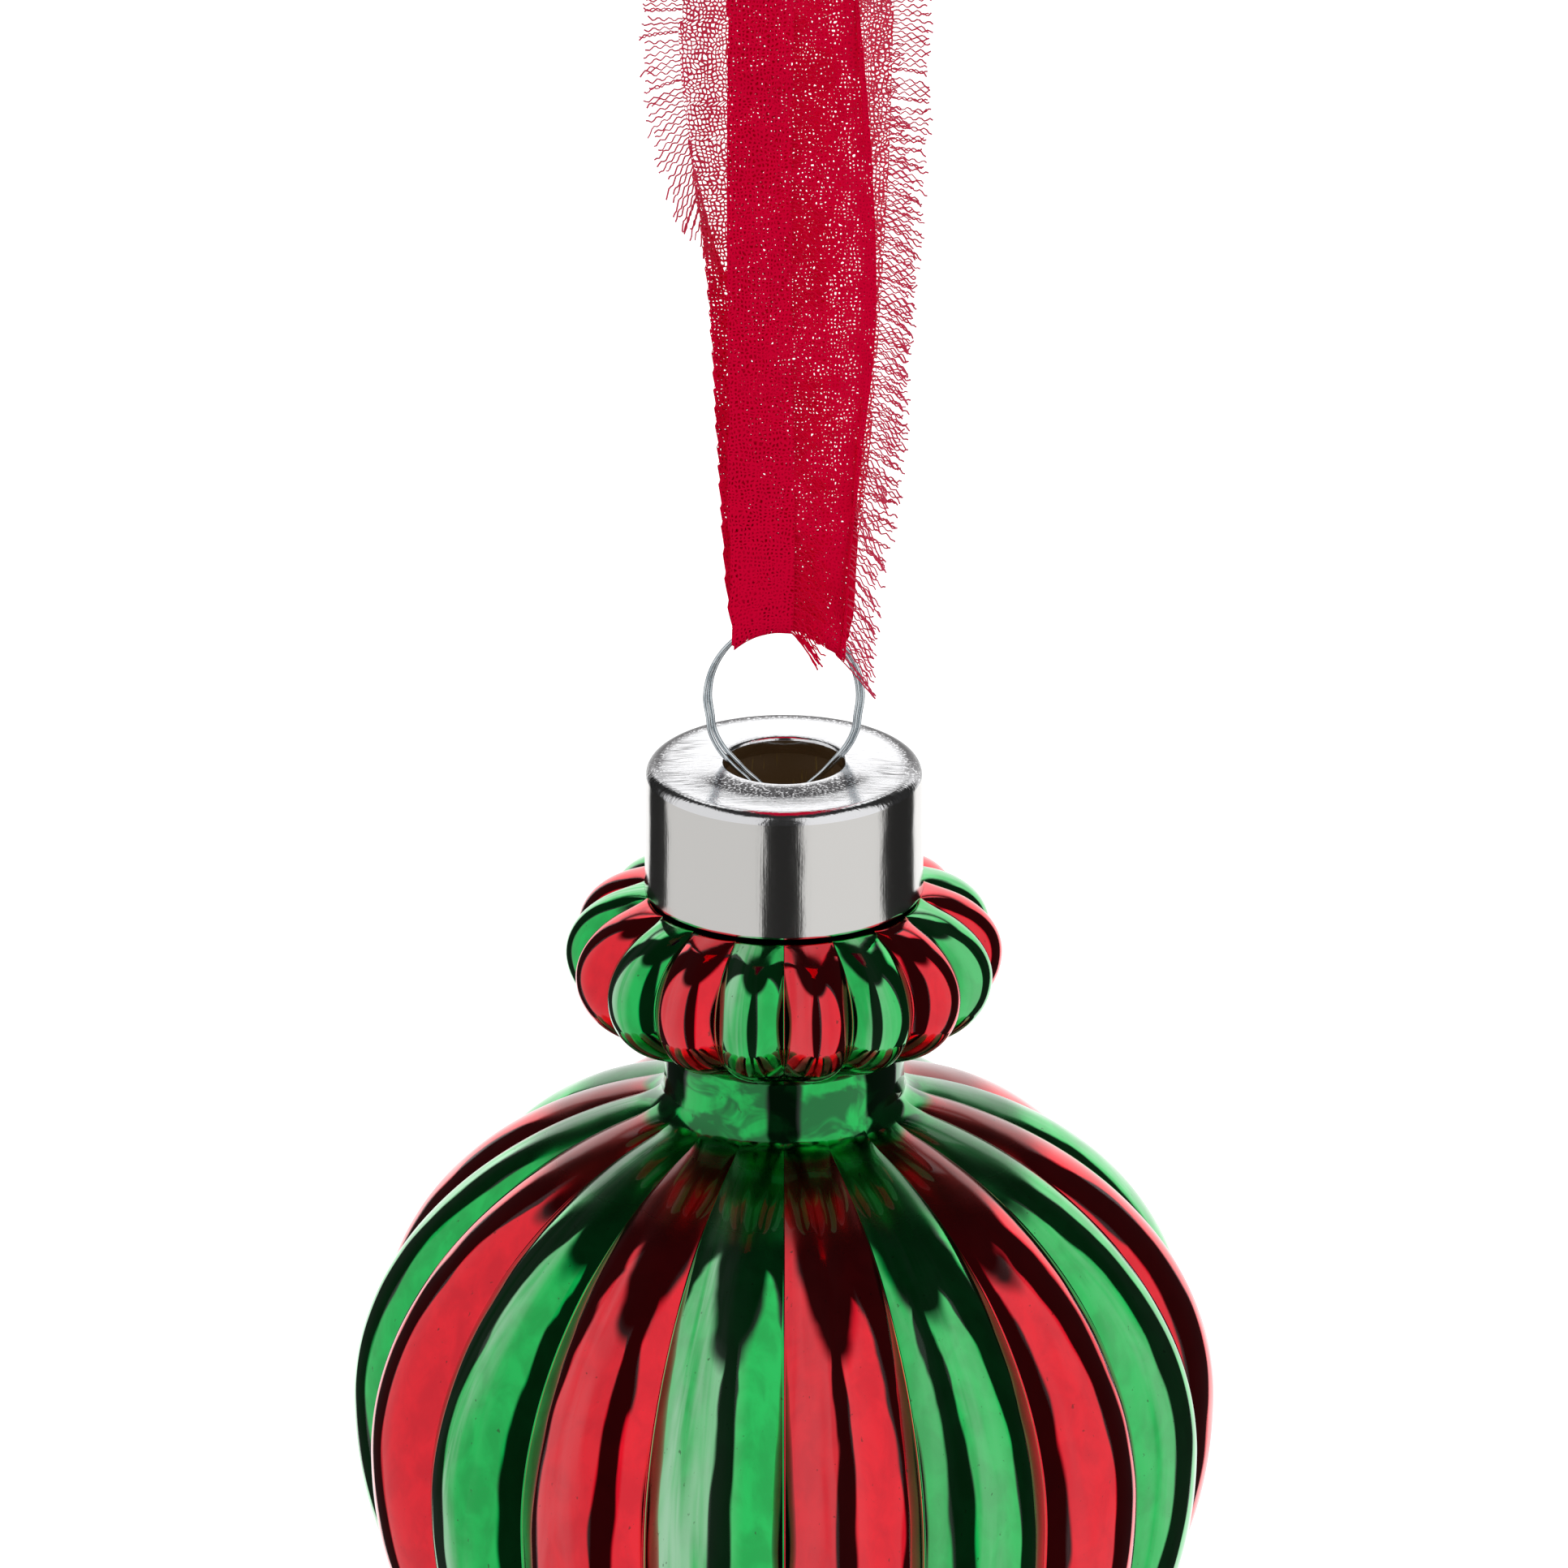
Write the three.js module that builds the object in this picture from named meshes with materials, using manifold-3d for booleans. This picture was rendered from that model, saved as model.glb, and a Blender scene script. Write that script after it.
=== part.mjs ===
import * as THREE from 'three';
import Module from 'manifold-3d';

// A blown-glass finial ornament: a fluted, silvered glass body, a plated cap on its neck, a sprung wire
// hanging ring whose legs grip the neck from inside, and a gauze ribbon looped through the ring.
// Lengths are in millimetres and +Z is up. The origin is the hanging point, under the ribbon's knot.

// Room kept between pieces that touch on the real ornament
const clearance = 0.3;

// Cap, drawn from thin sheet, with a rounded top edge and a hole with a turned-down lip
const capTopRadius = 12.5;
const capFootRadius = 12.7;
const capHeight = 12;
const capWall = 0.45;
const capEdgeRadius = 0.9;
const holeRadius = 5.45;
const lipRadius = 0.9;
const lipDepth = 1.2;

// Glass body, from the neck down: collar, waist, bulb and finial taper
const glassWall = 1.8;
const collarRadius = 19.9;
const collarUpperHeight = 6.2;
const collarLowerHeight = 7.3;
const waistRadius = 11;
const waistLength = 7;
const waistFillet = 1.4;
const shoulderFillet = 2;
const bulbRadius = 39.9;
const bulbUpperHeight = 31.9;
const bulbLowerHeight = 35.5;
const taperRadius = 24;
const taperHeight = 48.5;
const tipRadius = 2.6;

// Flutes: round lobes that meet in sharp grooves, deepest at the widest rings
const fluteCount = 18;
const collarFluteDepth = 1.85;
const bulbFluteDepth = 3.2;
const fluteFadeWidth = 4;

// Hanging ring, two turns of one spring wire that end in two sprung legs
const wireRadius = 0.21;
const ringRadius = 7.09;
const ringInnerRadius = 6.68;
const ringStretch = 0.3;
const ringRise = 6.5;
const strandPitch = 0.87;
const legPinch = 2.9;
const legLength = 15;
const eyeDepth = 3.4;

// Ribbon loop of gauze, folded round the ring and knotted at the top
const ribbonWidth = 19.4;
const loopLength = 100;
const loopDepth = 10;
const ribbonThickness = 0.6;
const flapWidth = 6.2;
const flapThickness = 0.5;
const knotWidth = 9.2;
const knotDepth = 7.4;
const knotHeight = 8;

// Faceting
const stepsPerFlute = 5;
const hollowSteps = 36;
const capSteps = 40;
const wireSteps = 108;
const wireSides = 8;
const ribbonRows = 60;
const ribbonColumns = 6;

// Heights that follow from the sizes above, first in the cap's own frame, with the top of the cap at zero
const neckRadius = capTopRadius - capWall - clearance;
const mouthZ = -capWall - clearance;
const collarTopZ = -capHeight - clearance;
const collarZ = collarTopZ - collarUpperHeight;
const waistTopZ = collarZ - collarLowerHeight;
const shoulderZ = waistTopZ - waistLength;
const bulbZ = shoulderZ - bulbUpperHeight * Math.sqrt(1 - (waistRadius / bulbRadius) ** 2);
const taperZ = bulbZ - bulbLowerHeight;
const tipZ = taperZ - taperHeight;
const foldRadius = ringInnerRadius - wireRadius - clearance;
const foldRise = foldRadius + ringStretch;
const ringZ = -loopLength - foldRise;
const capZ = ringZ - ringRise;

const wasm = await Module();
wasm.setup();

function toSolid(geometry) {
  const mesh = new wasm.Mesh({
    numProp: 3,
    vertProperties: new Float32Array(geometry.attributes.position.array),
    triVerts: new Uint32Array(geometry.index.array),
  });
  mesh.merge();
  return new wasm.Manifold(mesh);
}

function toGeometry(solid) {
  const mesh = solid.getMesh();
  const geometry = new THREE.BufferGeometry();
  geometry.setAttribute('position', new THREE.BufferAttribute(mesh.vertProperties, 3));
  geometry.setIndex(new THREE.BufferAttribute(mesh.triVerts, 1));
  geometry.computeVertexNormals();
  return geometry;
}

function indexedGeometry(points, faces) {
  const geometry = new THREE.BufferGeometry().setFromPoints(points);
  geometry.setIndex(faces.flat());
  geometry.computeVertexNormals();
  return geometry;
}

// Turns an outline of (radius, height) points, listed from the top down, into a closed body round Z.
// radiusAt can change a point's radius with the angle, and the first step lies at startAngle.
function turnedBody(outline, steps, startAngle, radiusAt) {
  const top = new THREE.Vector3(0, 0, outline[0].y);
  const bottom = new THREE.Vector3(0, 0, outline.at(-1).y);
  const points = [top];
  const faces = [];
  const at = (ring, step) => 1 + ring * steps + (step % steps);
  outline.forEach((point) => {
    for (let step = 0; step < steps; step++) {
      const angle = startAngle + (step / steps) * 2 * Math.PI;
      const radius = radiusAt(point, angle);
      points.push(new THREE.Vector3(radius * Math.cos(angle), radius * Math.sin(angle), point.y));
    }
  });
  points.push(bottom);
  for (let step = 0; step < steps; step++) {
    faces.push([0, at(0, step), at(0, step + 1)]);
    for (let ring = 0; ring + 1 < outline.length; ring++) {
      faces.push([at(ring, step), at(ring + 1, step), at(ring + 1, step + 1)]);
      faces.push([at(ring, step), at(ring + 1, step + 1), at(ring, step + 1)]);
    }
    faces.push([points.length - 1, at(outline.length - 1, step + 1), at(outline.length - 1, step)]);
  }
  return indexedGeometry(points, faces);
}

// Points along a path, with a count of steps for each of its curves. A join that is off by rounding
// gets a line of no length from Path, which is left out.
function samplePath(path, counts) {
  const curves = path.curves.filter((curve) => curve.getLength() > 1e-6);
  return curves.flatMap((curve, i) => curve.getPoints(counts[i]).slice(i === 0 ? 0 : 1));
}

// The crest line of the flutes, from the mouth of the neck to the tip
function glassOutline(counts) {
  const path = new THREE.Path();
  const underAngle = -1.3;
  const shoulderRadius = waistRadius + shoulderFillet;
  const shoulderAngle = Math.acos(shoulderRadius / bulbRadius);
  path.moveTo(neckRadius, mouthZ);
  path.lineTo(neckRadius, collarTopZ);
  path.absellipse(neckRadius, collarZ, collarRadius - neckRadius, collarUpperHeight, Math.PI / 2, 0, true, 0);
  path.absellipse(waistRadius, collarZ, collarRadius - waistRadius, collarLowerHeight, 0, underAngle, true, 0);
  path.quadraticCurveTo(waistRadius, waistTopZ, waistRadius, waistTopZ - waistFillet);
  path.lineTo(waistRadius, shoulderZ + waistFillet);
  path.quadraticCurveTo(
    waistRadius,
    shoulderZ,
    shoulderRadius,
    bulbZ + bulbUpperHeight * Math.sin(shoulderAngle),
  );
  path.absellipse(0, bulbZ, bulbRadius, bulbUpperHeight, shoulderAngle, 0, true, 0);
  const slope = bulbLowerHeight * 0.31;
  const lean = (bulbRadius - taperRadius) * 0.57;
  path.bezierCurveTo(
    bulbRadius,
    bulbZ - bulbLowerHeight * 0.44,
    taperRadius + lean,
    taperZ + slope,
    taperRadius,
    taperZ,
  );
  path.bezierCurveTo(
    taperRadius - lean,
    taperZ - slope,
    tipRadius * 1.6,
    taperZ - taperHeight * 0.5,
    tipRadius,
    tipZ + tipRadius,
  );
  path.absellipse(0, tipZ + tipRadius, tipRadius, tipRadius, 0, -Math.PI / 3, true, 0);
  return samplePath(path, counts);
}

// How deep the grooves are cut below the crest line at a point of the outline
function fluteDepth(point) {
  const { smoothstep } = THREE.MathUtils;
  if (point.y > waistTopZ) {
    return collarFluteDepth * smoothstep(point.x, neckRadius, neckRadius + fluteFadeWidth);
  }
  const root = point.y > bulbZ ? waistRadius : tipRadius;
  const share = smoothstep(point.x, root, root + fluteFadeWidth);
  return (bulbFluteDepth * share * point.x) / bulbRadius;
}

function flutedRadius(point, angle) {
  const turn = (angle / (2 * Math.PI)) * fluteCount;
  const offset = 2 * (turn - Math.round(turn));
  return point.x - fluteDepth(point) * offset ** 2;
}

// The hollow lies one wall inside the grooves and is open at the mouth
function hollowOutline() {
  const outline = glassOutline([1, 4, 4, 1, 1, 1, 6, 4, 5, 1]);
  const hollow = [new THREE.Vector2(neckRadius - glassWall, mouthZ + glassWall)];
  outline.forEach((point, i) => {
    const before = outline[Math.max(i - 1, 0)];
    const after = outline[Math.min(i + 1, outline.length - 1)];
    const along = after.clone().sub(before).normalize();
    const radius = point.x - fluteDepth(point) + along.y * glassWall;
    const height = point.y - along.x * glassWall;
    if (radius > glassWall / 2 && height < hollow.at(-1).y) {
      hollow.push(new THREE.Vector2(radius, height));
    }
  });
  return hollow;
}

function glassBody() {
  const outline = glassOutline([1, 5, 5, 1, 1, 1, 8, 5, 6, 2]);
  const firstGroove = Math.PI / fluteCount;
  const outer = toSolid(turnedBody(outline, fluteCount * stepsPerFlute, firstGroove, flutedRadius));
  const hollow = toSolid(turnedBody(hollowOutline(), hollowSteps, 0, (point) => point.x));
  return toGeometry(outer.subtract(hollow));
}

function cap() {
  const path = new THREE.Path();
  const edgeZ = -capEdgeRadius;
  const edge = capTopRadius - capEdgeRadius;
  const lip = holeRadius + lipRadius;
  const innerEdge = capEdgeRadius - capWall;
  path.moveTo(capFootRadius, -capHeight);
  path.lineTo(capTopRadius, edgeZ);
  path.absarc(edge, edgeZ, capEdgeRadius, 0, Math.PI / 2, false);
  path.lineTo(lip, 0);
  path.absarc(lip, -lipRadius, lipRadius, Math.PI / 2, Math.PI, false);
  path.lineTo(holeRadius, -lipDepth);
  path.lineTo(holeRadius + capWall, -lipDepth);
  path.lineTo(holeRadius + capWall, -lipRadius);
  path.absarc(lip, -lipRadius, lipRadius - capWall, Math.PI, Math.PI / 2, true);
  path.lineTo(edge, -capWall);
  path.absarc(edge, edgeZ, innerEdge, Math.PI / 2, 0, true);
  path.lineTo(capFootRadius - capWall, -capHeight);
  path.lineTo(capFootRadius, -capHeight);
  const outline = samplePath(path, [1, 4, 1, 4, 1, 1, 1, 3, 1, 3, 1, 1]);
  const geometry = new THREE.LatheGeometry(outline, capSteps);
  return geometry.rotateX(Math.PI / 2);
}

// One strand's way over the top of the ring, from its left side to its right, as a slow screw thread.
// The ring stands a little taller than it is wide.
function ringTurn(leftRadius, rightRadius, middleY) {
  const points = [];
  const turnEnd = 105;
  for (let angle = -turnEnd; angle <= turnEnd; angle += 15) {
    const share = THREE.MathUtils.clamp((angle + 90) / 180, 0, 1);
    const radius = THREE.MathUtils.lerp(leftRadius, rightRadius, share);
    const turn = THREE.MathUtils.degToRad(angle);
    const y = middleY + strandPitch * (share - 0.5) * 0.5;
    const z = ringRise + (radius + ringStretch) * Math.cos(turn);
    points.push(new THREE.Vector3(radius * Math.sin(turn), y, z));
  }
  return points;
}

// A leg runs beside the eye through the hole, turns out again at its pinch, and springs outwards until it
// bears on the inside of the neck
function leg(side) {
  const y = side * strandPitch * 0.86;
  const bore = neckRadius - glassWall - clearance - wireRadius;
  const reach = Math.sqrt(bore ** 2 - y ** 2);
  const outward = (share, z) => new THREE.Vector3(side * THREE.MathUtils.lerp(legPinch, reach, share), y, z);
  return [
    outward(0.32, 0),
    outward(0.06, -eyeDepth * 0.48),
    outward(0, -eyeDepth * 0.8),
    outward(0.2, -legLength * 0.35),
    outward(0.78, -legLength * 0.67),
    outward(1, -legLength),
  ];
}

function wireRoute() {
  const eye = ringInnerRadius * 0.7;
  const eyeBottom = [
    new THREE.Vector3(eye, -strandPitch * 0.2, 0),
    new THREE.Vector3(eye * 0.58, -strandPitch * 0.12, -eyeDepth * 0.55),
    new THREE.Vector3(0, 0, -eyeDepth),
    new THREE.Vector3(-eye * 0.58, strandPitch * 0.12, -eyeDepth * 0.55),
    new THREE.Vector3(-eye, strandPitch * 0.2, 0),
  ];
  return new THREE.CatmullRomCurve3([
    ...leg(-1).reverse(),
    ...ringTurn(ringRadius, ringInnerRadius, -strandPitch / 2),
    ...eyeBottom,
    ...ringTurn(ringInnerRadius, ringRadius, strandPitch / 2),
    ...leg(1),
  ]);
}

// The least gap between stretches of the wire that are more than a quarter turn apart along it
function leastStrandGap(route) {
  const points = route.getSpacedPoints(360);
  const apart = Math.ceil((360 * ringRadius * Math.PI) / 2 / route.getLength());
  let least = Infinity;
  points.forEach((point, i) => {
    points.slice(i + apart).forEach((other) => {
      least = Math.min(least, point.distanceTo(other));
    });
  });
  return least - 2 * wireRadius;
}

function wireHanger() {
  const route = wireRoute();
  console.log(`least gap between the wire's strands: ${leastStrandGap(route).toFixed(2)} mm`);
  const section = new THREE.Shape();
  for (let side = 0; side < wireSides; side++) {
    const angle = (side / wireSides) * 2 * Math.PI;
    const x = wireRadius * Math.cos(angle);
    const y = wireRadius * Math.sin(angle);
    side === 0 ? section.moveTo(x, y) : section.lineTo(x, y);
  }
  return new THREE.ExtrudeGeometry(section, { steps: wireSteps, extrudePath: route });
}

// The ribbon's way round the loop: the middle of the cloth in Y and Z, and its left and right edges in X.
// It starts at one tail, passes the knot, runs down the front, under the ring and up the back.
// Depths are written as shares of half the loop's depth, and edges of half the ribbon's width. Heights are
// shares of the knot's height above and just under it, and of the loop's length above the bottom fold.
function ribbonStations() {
  const fold = -loopLength - ribbonThickness / 2;
  const hug = strandPitch * 0.58 + wireRadius + clearance + ribbonThickness / 2;
  const tails = [
    [2, 3.12, -0.85, 0.85],
    [1.1, 2.44, -0.62, 0.62],
    [0.34, 1.62, -0.37, 0.37],
    [0.12, 1, -0.29, 0.29],
    [0.12, 0.45, -0.29, 0.29],
    [0.46, 0.02, -0.33, 0.33],
    [0.9, -0.5, -0.41, 0.41],
    [1, -1.25, -0.52, 0.54],
  ];
  const front = [
    [0.92, 0.72, -0.52, 0.64],
    [0.84, 0.5, -0.52, 0.78],
    [0.78, 0.32, -0.52, 0.84],
    [0.64, 0.17, -0.52, 0.7],
    [0.4, 0.07, -0.51, 0.6],
  ];
  const underRing = [
    [-hug, fold + foldRise * 0.2, -0.49, 0.57],
    [0, fold, -0.47, 0.54],
    [hug, fold + foldRise * 0.2, -0.49, 0.57],
  ];
  const back = [
    [0.4, 0.07, -0.57, 0.67],
    [0.64, 0.17, -0.63, 0.8],
    [0.78, 0.32, -0.72, 0.9],
    [0.84, 0.5, -0.92, 0.98],
    [0.92, 0.72, -0.91, 0.97],
  ];
  const depth = loopDepth / 2;
  const knotted = (side) => ([y, z, ...edges]) => [side * depth * y, knotHeight * z, ...edges];
  const hung = (side) => ([y, z, ...edges]) => [side * depth * y, fold + loopLength * z, ...edges];
  const stations = [
    ...tails.map(knotted(-1)),
    ...front.map(hung(-1)),
    ...underRing,
    ...back.map(hung(1)),
    ...tails.toReversed().map(knotted(1)),
  ];
  const across = ribbonWidth / 2;
  return stations.map(([y, z, left, right]) => [y, z, across * left, across * right]);
}

// A strip of cloth as a closed solid, from rows of points on its face and its back
function clothSolid(rows) {
  const columns = rows[0].length;
  const points = rows.flatMap((row) => row.flatMap(({ face, back }) => [face, back]));
  const at = (row, column, side) => (row * columns + column) * 2 + side;
  const faces = [];
  const quad = (a, b, c, d) => faces.push([a, c, b], [a, d, c]);
  for (let row = 0; row + 1 < rows.length; row++) {
    for (let column = 0; column + 1 < columns; column++) {
      quad(at(row, column, 0), at(row, column + 1, 0), at(row + 1, column + 1, 0), at(row + 1, column, 0));
      quad(at(row, column, 1), at(row + 1, column, 1), at(row + 1, column + 1, 1), at(row, column + 1, 1));
    }
    quad(at(row, 0, 0), at(row + 1, 0, 0), at(row + 1, 0, 1), at(row, 0, 1));
    const last = columns - 1;
    quad(at(row, last, 0), at(row, last, 1), at(row + 1, last, 1), at(row + 1, last, 0));
  }
  const end = rows.length - 1;
  for (let column = 0; column + 1 < columns; column++) {
    quad(at(0, column, 0), at(0, column, 1), at(0, column + 1, 1), at(0, column + 1, 0));
    quad(at(end, column, 0), at(end, column + 1, 0), at(end, column + 1, 1), at(end, column, 1));
  }
  return toSolid(indexedGeometry(points, faces));
}

// Under the ring the cloth is bent over the wire, so its edges hang lower than its middle
function foldDrop(x, z) {
  const bend = foldRise * (1 - Math.sqrt(Math.max(1 - (x / foldRadius) ** 2, 0)));
  return bend * (1 - THREE.MathUtils.smoothstep(z, -loopLength, -loopLength * 0.91));
}

// The middle of the cloth and its two edges, as curves that share one time scale
function ribbonCurves() {
  const stations = ribbonStations();
  const middles = stations.map(([y, z]) => new THREE.Vector3(0, y, z));
  const limits = stations.map(([y, z, left, right]) => new THREE.Vector3(left, right, 0));
  return {
    route: new THREE.CatmullRomCurve3(middles, false, 'catmullrom'),
    edges: new THREE.CatmullRomCurve3(limits, false, 'catmullrom'),
    last: stations.length - 1,
  };
}

// Rows of points across a strip of cloth at the given times. spanAt gives the strip's edges from the
// ribbon's own, and insetAt how far its middle lies inside the ribbon's at a share of the way across.
function clothRows(times, columns, thickness, spanAt, insetAt) {
  const { route, edges } = ribbonCurves();
  return times.map((time) => {
    const middle = route.getPoint(time);
    const along = route.getTangent(time);
    const inward = new THREE.Vector3(0, -along.z, along.y);
    const [left, right] = spanAt(edges.getPoint(time));
    return Array.from({ length: columns + 1 }, (unused, column) => {
      const share = column / columns;
      const x = THREE.MathUtils.lerp(left, right, share);
      const point = new THREE.Vector3(x, middle.y, middle.z - foldDrop(x, middle.z));
      point.addScaledVector(inward, insetAt(share));
      return {
        face: point.clone().addScaledVector(inward, -thickness / 2),
        back: point.clone().addScaledVector(inward, thickness / 2),
      };
    });
  });
}

function ribbonStrip() {
  const times = Array.from({ length: ribbonRows + 1 }, (unused, row) => row / ribbonRows);
  const span = (limits) => [limits.x, limits.y];
  return clothSolid(clothRows(times, ribbonColumns, ribbonThickness, span, () => 0));
}

// The front panel's left edge is folded over in front of it, from under the knot down to the ring
function ribbonFlap() {
  const { last } = ribbonCurves();
  const firstStation = 7.6;
  const lastStation = 12;
  const rows = 8;
  const times = Array.from({ length: rows + 1 }, (unused, row) => {
    return THREE.MathUtils.lerp(firstStation, lastStation, row / rows) / last;
  });
  const span = (limits) => [limits.x, limits.x + flapWidth];
  const inset = (share) => -flapThickness / 2 - (ribbonThickness / 2 + clearance) * share;
  return clothSolid(clothRows(times, 2, flapThickness, span, inset));
}

// The overhand knot as a tight lump with one turn of cloth lying slantwise round it
function knot() {
  const lump = new THREE.SphereGeometry(1, 14, 8).scale(knotWidth / 2, knotDepth / 2, knotHeight / 2);
  const turn = new THREE.TorusGeometry(1, 0.36, 6, 18).scale(knotWidth * 0.42, knotDepth * 0.42, knotHeight * 0.52);
  turn.rotateY(0.35);
  return [lump, turn].map((geometry) => {
    geometry.translate(0, 0, knotHeight / 2);
    geometry.deleteAttribute('uv');
    geometry.deleteAttribute('normal');
    return toSolid(geometry);
  });
}

function ribbon() {
  const solids = [ribbonStrip(), ribbonFlap(), ...knot()];
  return toGeometry(solids.reduce((whole, solid) => whole.add(solid)));
}

const silveredGlass = new THREE.MeshStandardMaterial({ color: 0x1b8f52, roughness: 0.08, metalness: 0.6 });
const platedMetal = new THREE.MeshStandardMaterial({ color: 0xc9c6c0, roughness: 0.2, metalness: 1 });
const springWire = new THREE.MeshStandardMaterial({ color: 0x8f949c, roughness: 0.3, metalness: 1 });
const redGauze = new THREE.MeshStandardMaterial({ color: 0xc4002f, roughness: 0.9, metalness: 0 });

function named(name, geometry, material, z) {
  const mesh = new THREE.Mesh(geometry, material);
  mesh.name = name;
  mesh.position.z = z;
  return mesh;
}

const group = new THREE.Group();
group.add(named('glass_body', glassBody(), silveredGlass, capZ));
group.add(named('cap', cap(), platedMetal, capZ));
group.add(named('wire_hanger', wireHanger(), springWire, capZ));
group.add(named('ribbon', ribbon(), redGauze, 0));

export default group;
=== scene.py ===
import math

import bpy
import numpy as np
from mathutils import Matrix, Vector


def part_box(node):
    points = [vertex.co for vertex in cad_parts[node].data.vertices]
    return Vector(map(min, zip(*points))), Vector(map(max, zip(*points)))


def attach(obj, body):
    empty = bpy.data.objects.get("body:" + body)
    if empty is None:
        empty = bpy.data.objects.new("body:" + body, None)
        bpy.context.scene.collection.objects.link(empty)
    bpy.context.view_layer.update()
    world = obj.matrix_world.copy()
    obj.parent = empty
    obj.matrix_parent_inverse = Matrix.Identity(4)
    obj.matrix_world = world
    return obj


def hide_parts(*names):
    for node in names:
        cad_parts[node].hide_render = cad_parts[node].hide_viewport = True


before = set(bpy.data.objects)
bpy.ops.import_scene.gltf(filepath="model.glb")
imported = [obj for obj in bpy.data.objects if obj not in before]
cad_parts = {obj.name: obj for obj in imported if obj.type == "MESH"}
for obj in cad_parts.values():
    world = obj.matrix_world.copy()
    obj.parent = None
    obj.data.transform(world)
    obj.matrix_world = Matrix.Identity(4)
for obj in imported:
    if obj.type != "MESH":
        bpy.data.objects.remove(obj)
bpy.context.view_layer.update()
mm = 0.001
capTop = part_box("cap")[1][2]  # the cap's top plane, which the photo's heights are measured from
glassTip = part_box("glass_body")[0][2]
print("frame loaded")


# Helpers that every piece uses

def linearColor(hexCode):
    channels = [int(hexCode[i:i + 2], 16) / 255 for i in (1, 3, 5)]
    return [c / 12.92 if c <= 0.04045 else ((c + 0.055) / 1.055) ** 2.4 for c in channels] + [1.0]


times = {"operation": "MULTIPLY"}
largest = {"operation": "MAXIMUM"}
eased = {"interpolation_type": "SMOOTHSTEP"}
colorMix = {"data_type": "RGBA"}
ownScale = {"Scale": 1.0}  # for a point that is already divided by the pattern's size


def addNode(tree, kind, settings=None, links=None):  # a link from a node starts at its first output in use
    node = tree.nodes.new("ShaderNode" + kind)
    for key, value in (settings or {}).items():
        if isinstance(key, str) and hasattr(node, key):
            setattr(node, key, value)
        else:
            node.inputs[key].default_value = linearColor(value) if isinstance(value, str) else value
    for key, source in (links or {}).items():
        if isinstance(source, bpy.types.Node):
            source = next(output for output in source.outputs if output.enabled)
        tree.links.new(source, node.inputs[key])
    return node


def spacePoint(tree, scale, spin=0.0):  # the piece's own place over the pattern's size in mm along each axis
    place = addNode(tree, "TexCoord").outputs["Object"]
    return addNode(tree, "Mapping", {"Rotation": (0, 0, math.radians(spin)),
                                     "Scale": [1 / (step * mm) for step in scale]}, {"Vector": place})


def turnAbout(tree, parts):  # the angle round the upright axis from the front, in radians
    front = addNode(tree, "Math", {**times, 1: -1.0}, {0: parts.outputs["Y"]})
    return addNode(tree, "Math", {"operation": "ARCTAN2"}, {0: parts.outputs["X"], 1: front})


def roundPoint(tree, scale):  # turn, distance from the axis and height over the pattern's size in degrees, mm and mm
    parts = addNode(tree, "SeparateXYZ", links={0: addNode(tree, "TexCoord").outputs["Object"]})
    flat = addNode(tree, "CombineXYZ", links={0: parts.outputs["X"], 1: parts.outputs["Y"]})
    reach = addNode(tree, "VectorMath", {"operation": "LENGTH"}, {0: flat})
    joined = addNode(tree, "CombineXYZ", links={0: turnAbout(tree, parts), 1: reach, 2: parts.outputs["Z"]})
    factors = (180 / math.pi / scale[0], 1 / (scale[1] * mm), 1 / (scale[2] * mm))
    return addNode(tree, "VectorMath", {**times, 1: factors}, {0: joined})


def maskBand(tree, value, low, high, soft):
    rise = addNode(tree, "MapRange", {**eased, 1: low - soft, 2: low + soft}, {0: value})
    fall = addNode(tree, "MapRange", {**eased, 1: high + soft, 2: high - soft}, {0: value})
    return addNode(tree, "Math", times, {0: rise, 1: fall})


def bumpLayers(tree, layers):  # each with its pattern's point and detail and its depth in mm, one over the other
    normal = None
    for point, detail, depth in layers:
        noise = addNode(tree, "TexNoise", {**ownScale, "Detail": detail}, {"Vector": point})
        below = {} if normal is None else {"Normal": normal}
        normal = addNode(tree, "Bump", {"Distance": depth * mm}, {"Height": noise, **below})
    return normal


def newMaterial(surface):  # named as the function that lays its nodes and returns its shader
    material = bpy.data.materials.new(surface.__name__)
    material.use_nodes = True
    tree = material.node_tree
    tree.nodes.clear()
    addNode(tree, "OutputMaterial", links={0: surface(tree)})
    return material


def newMesh(name, points, faces, materials, smooth=True):
    mesh = bpy.data.meshes.new(name)
    mesh.from_pydata([tuple(p) for p in points], [], [tuple(f) for f in faces])
    mesh.update()
    if smooth:
        mesh.shade_smooth()
    for material in materials:
        mesh.materials.append(material)
    piece = bpy.data.objects.new(name, mesh)
    bpy.context.scene.collection.objects.link(piece)
    return piece


def arcPoints(centerR, centerZ, radiusR, radiusZ, start, end, count):
    angles = np.radians(np.linspace(start, end, count + 1))
    return np.stack([centerR + radiusR * np.cos(angles), centerZ + radiusZ * np.sin(angles)], 1)


def bezierPoints(controls, count):
    t = np.linspace(0, 1, count + 1)[:, None]
    last = len(controls) - 1
    weights = [math.comb(last, i) * t ** i * (1 - t) ** (last - i) for i in range(last + 1)]
    return sum(w * np.array(c) for w, c in zip(weights, controls))


def joinedOutline(*stretches):
    points = np.concatenate(stretches)
    steps = np.linalg.norm(np.diff(points, axis=0), axis=1)
    return points[np.concatenate([[True], steps > 1e-6])]


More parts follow.
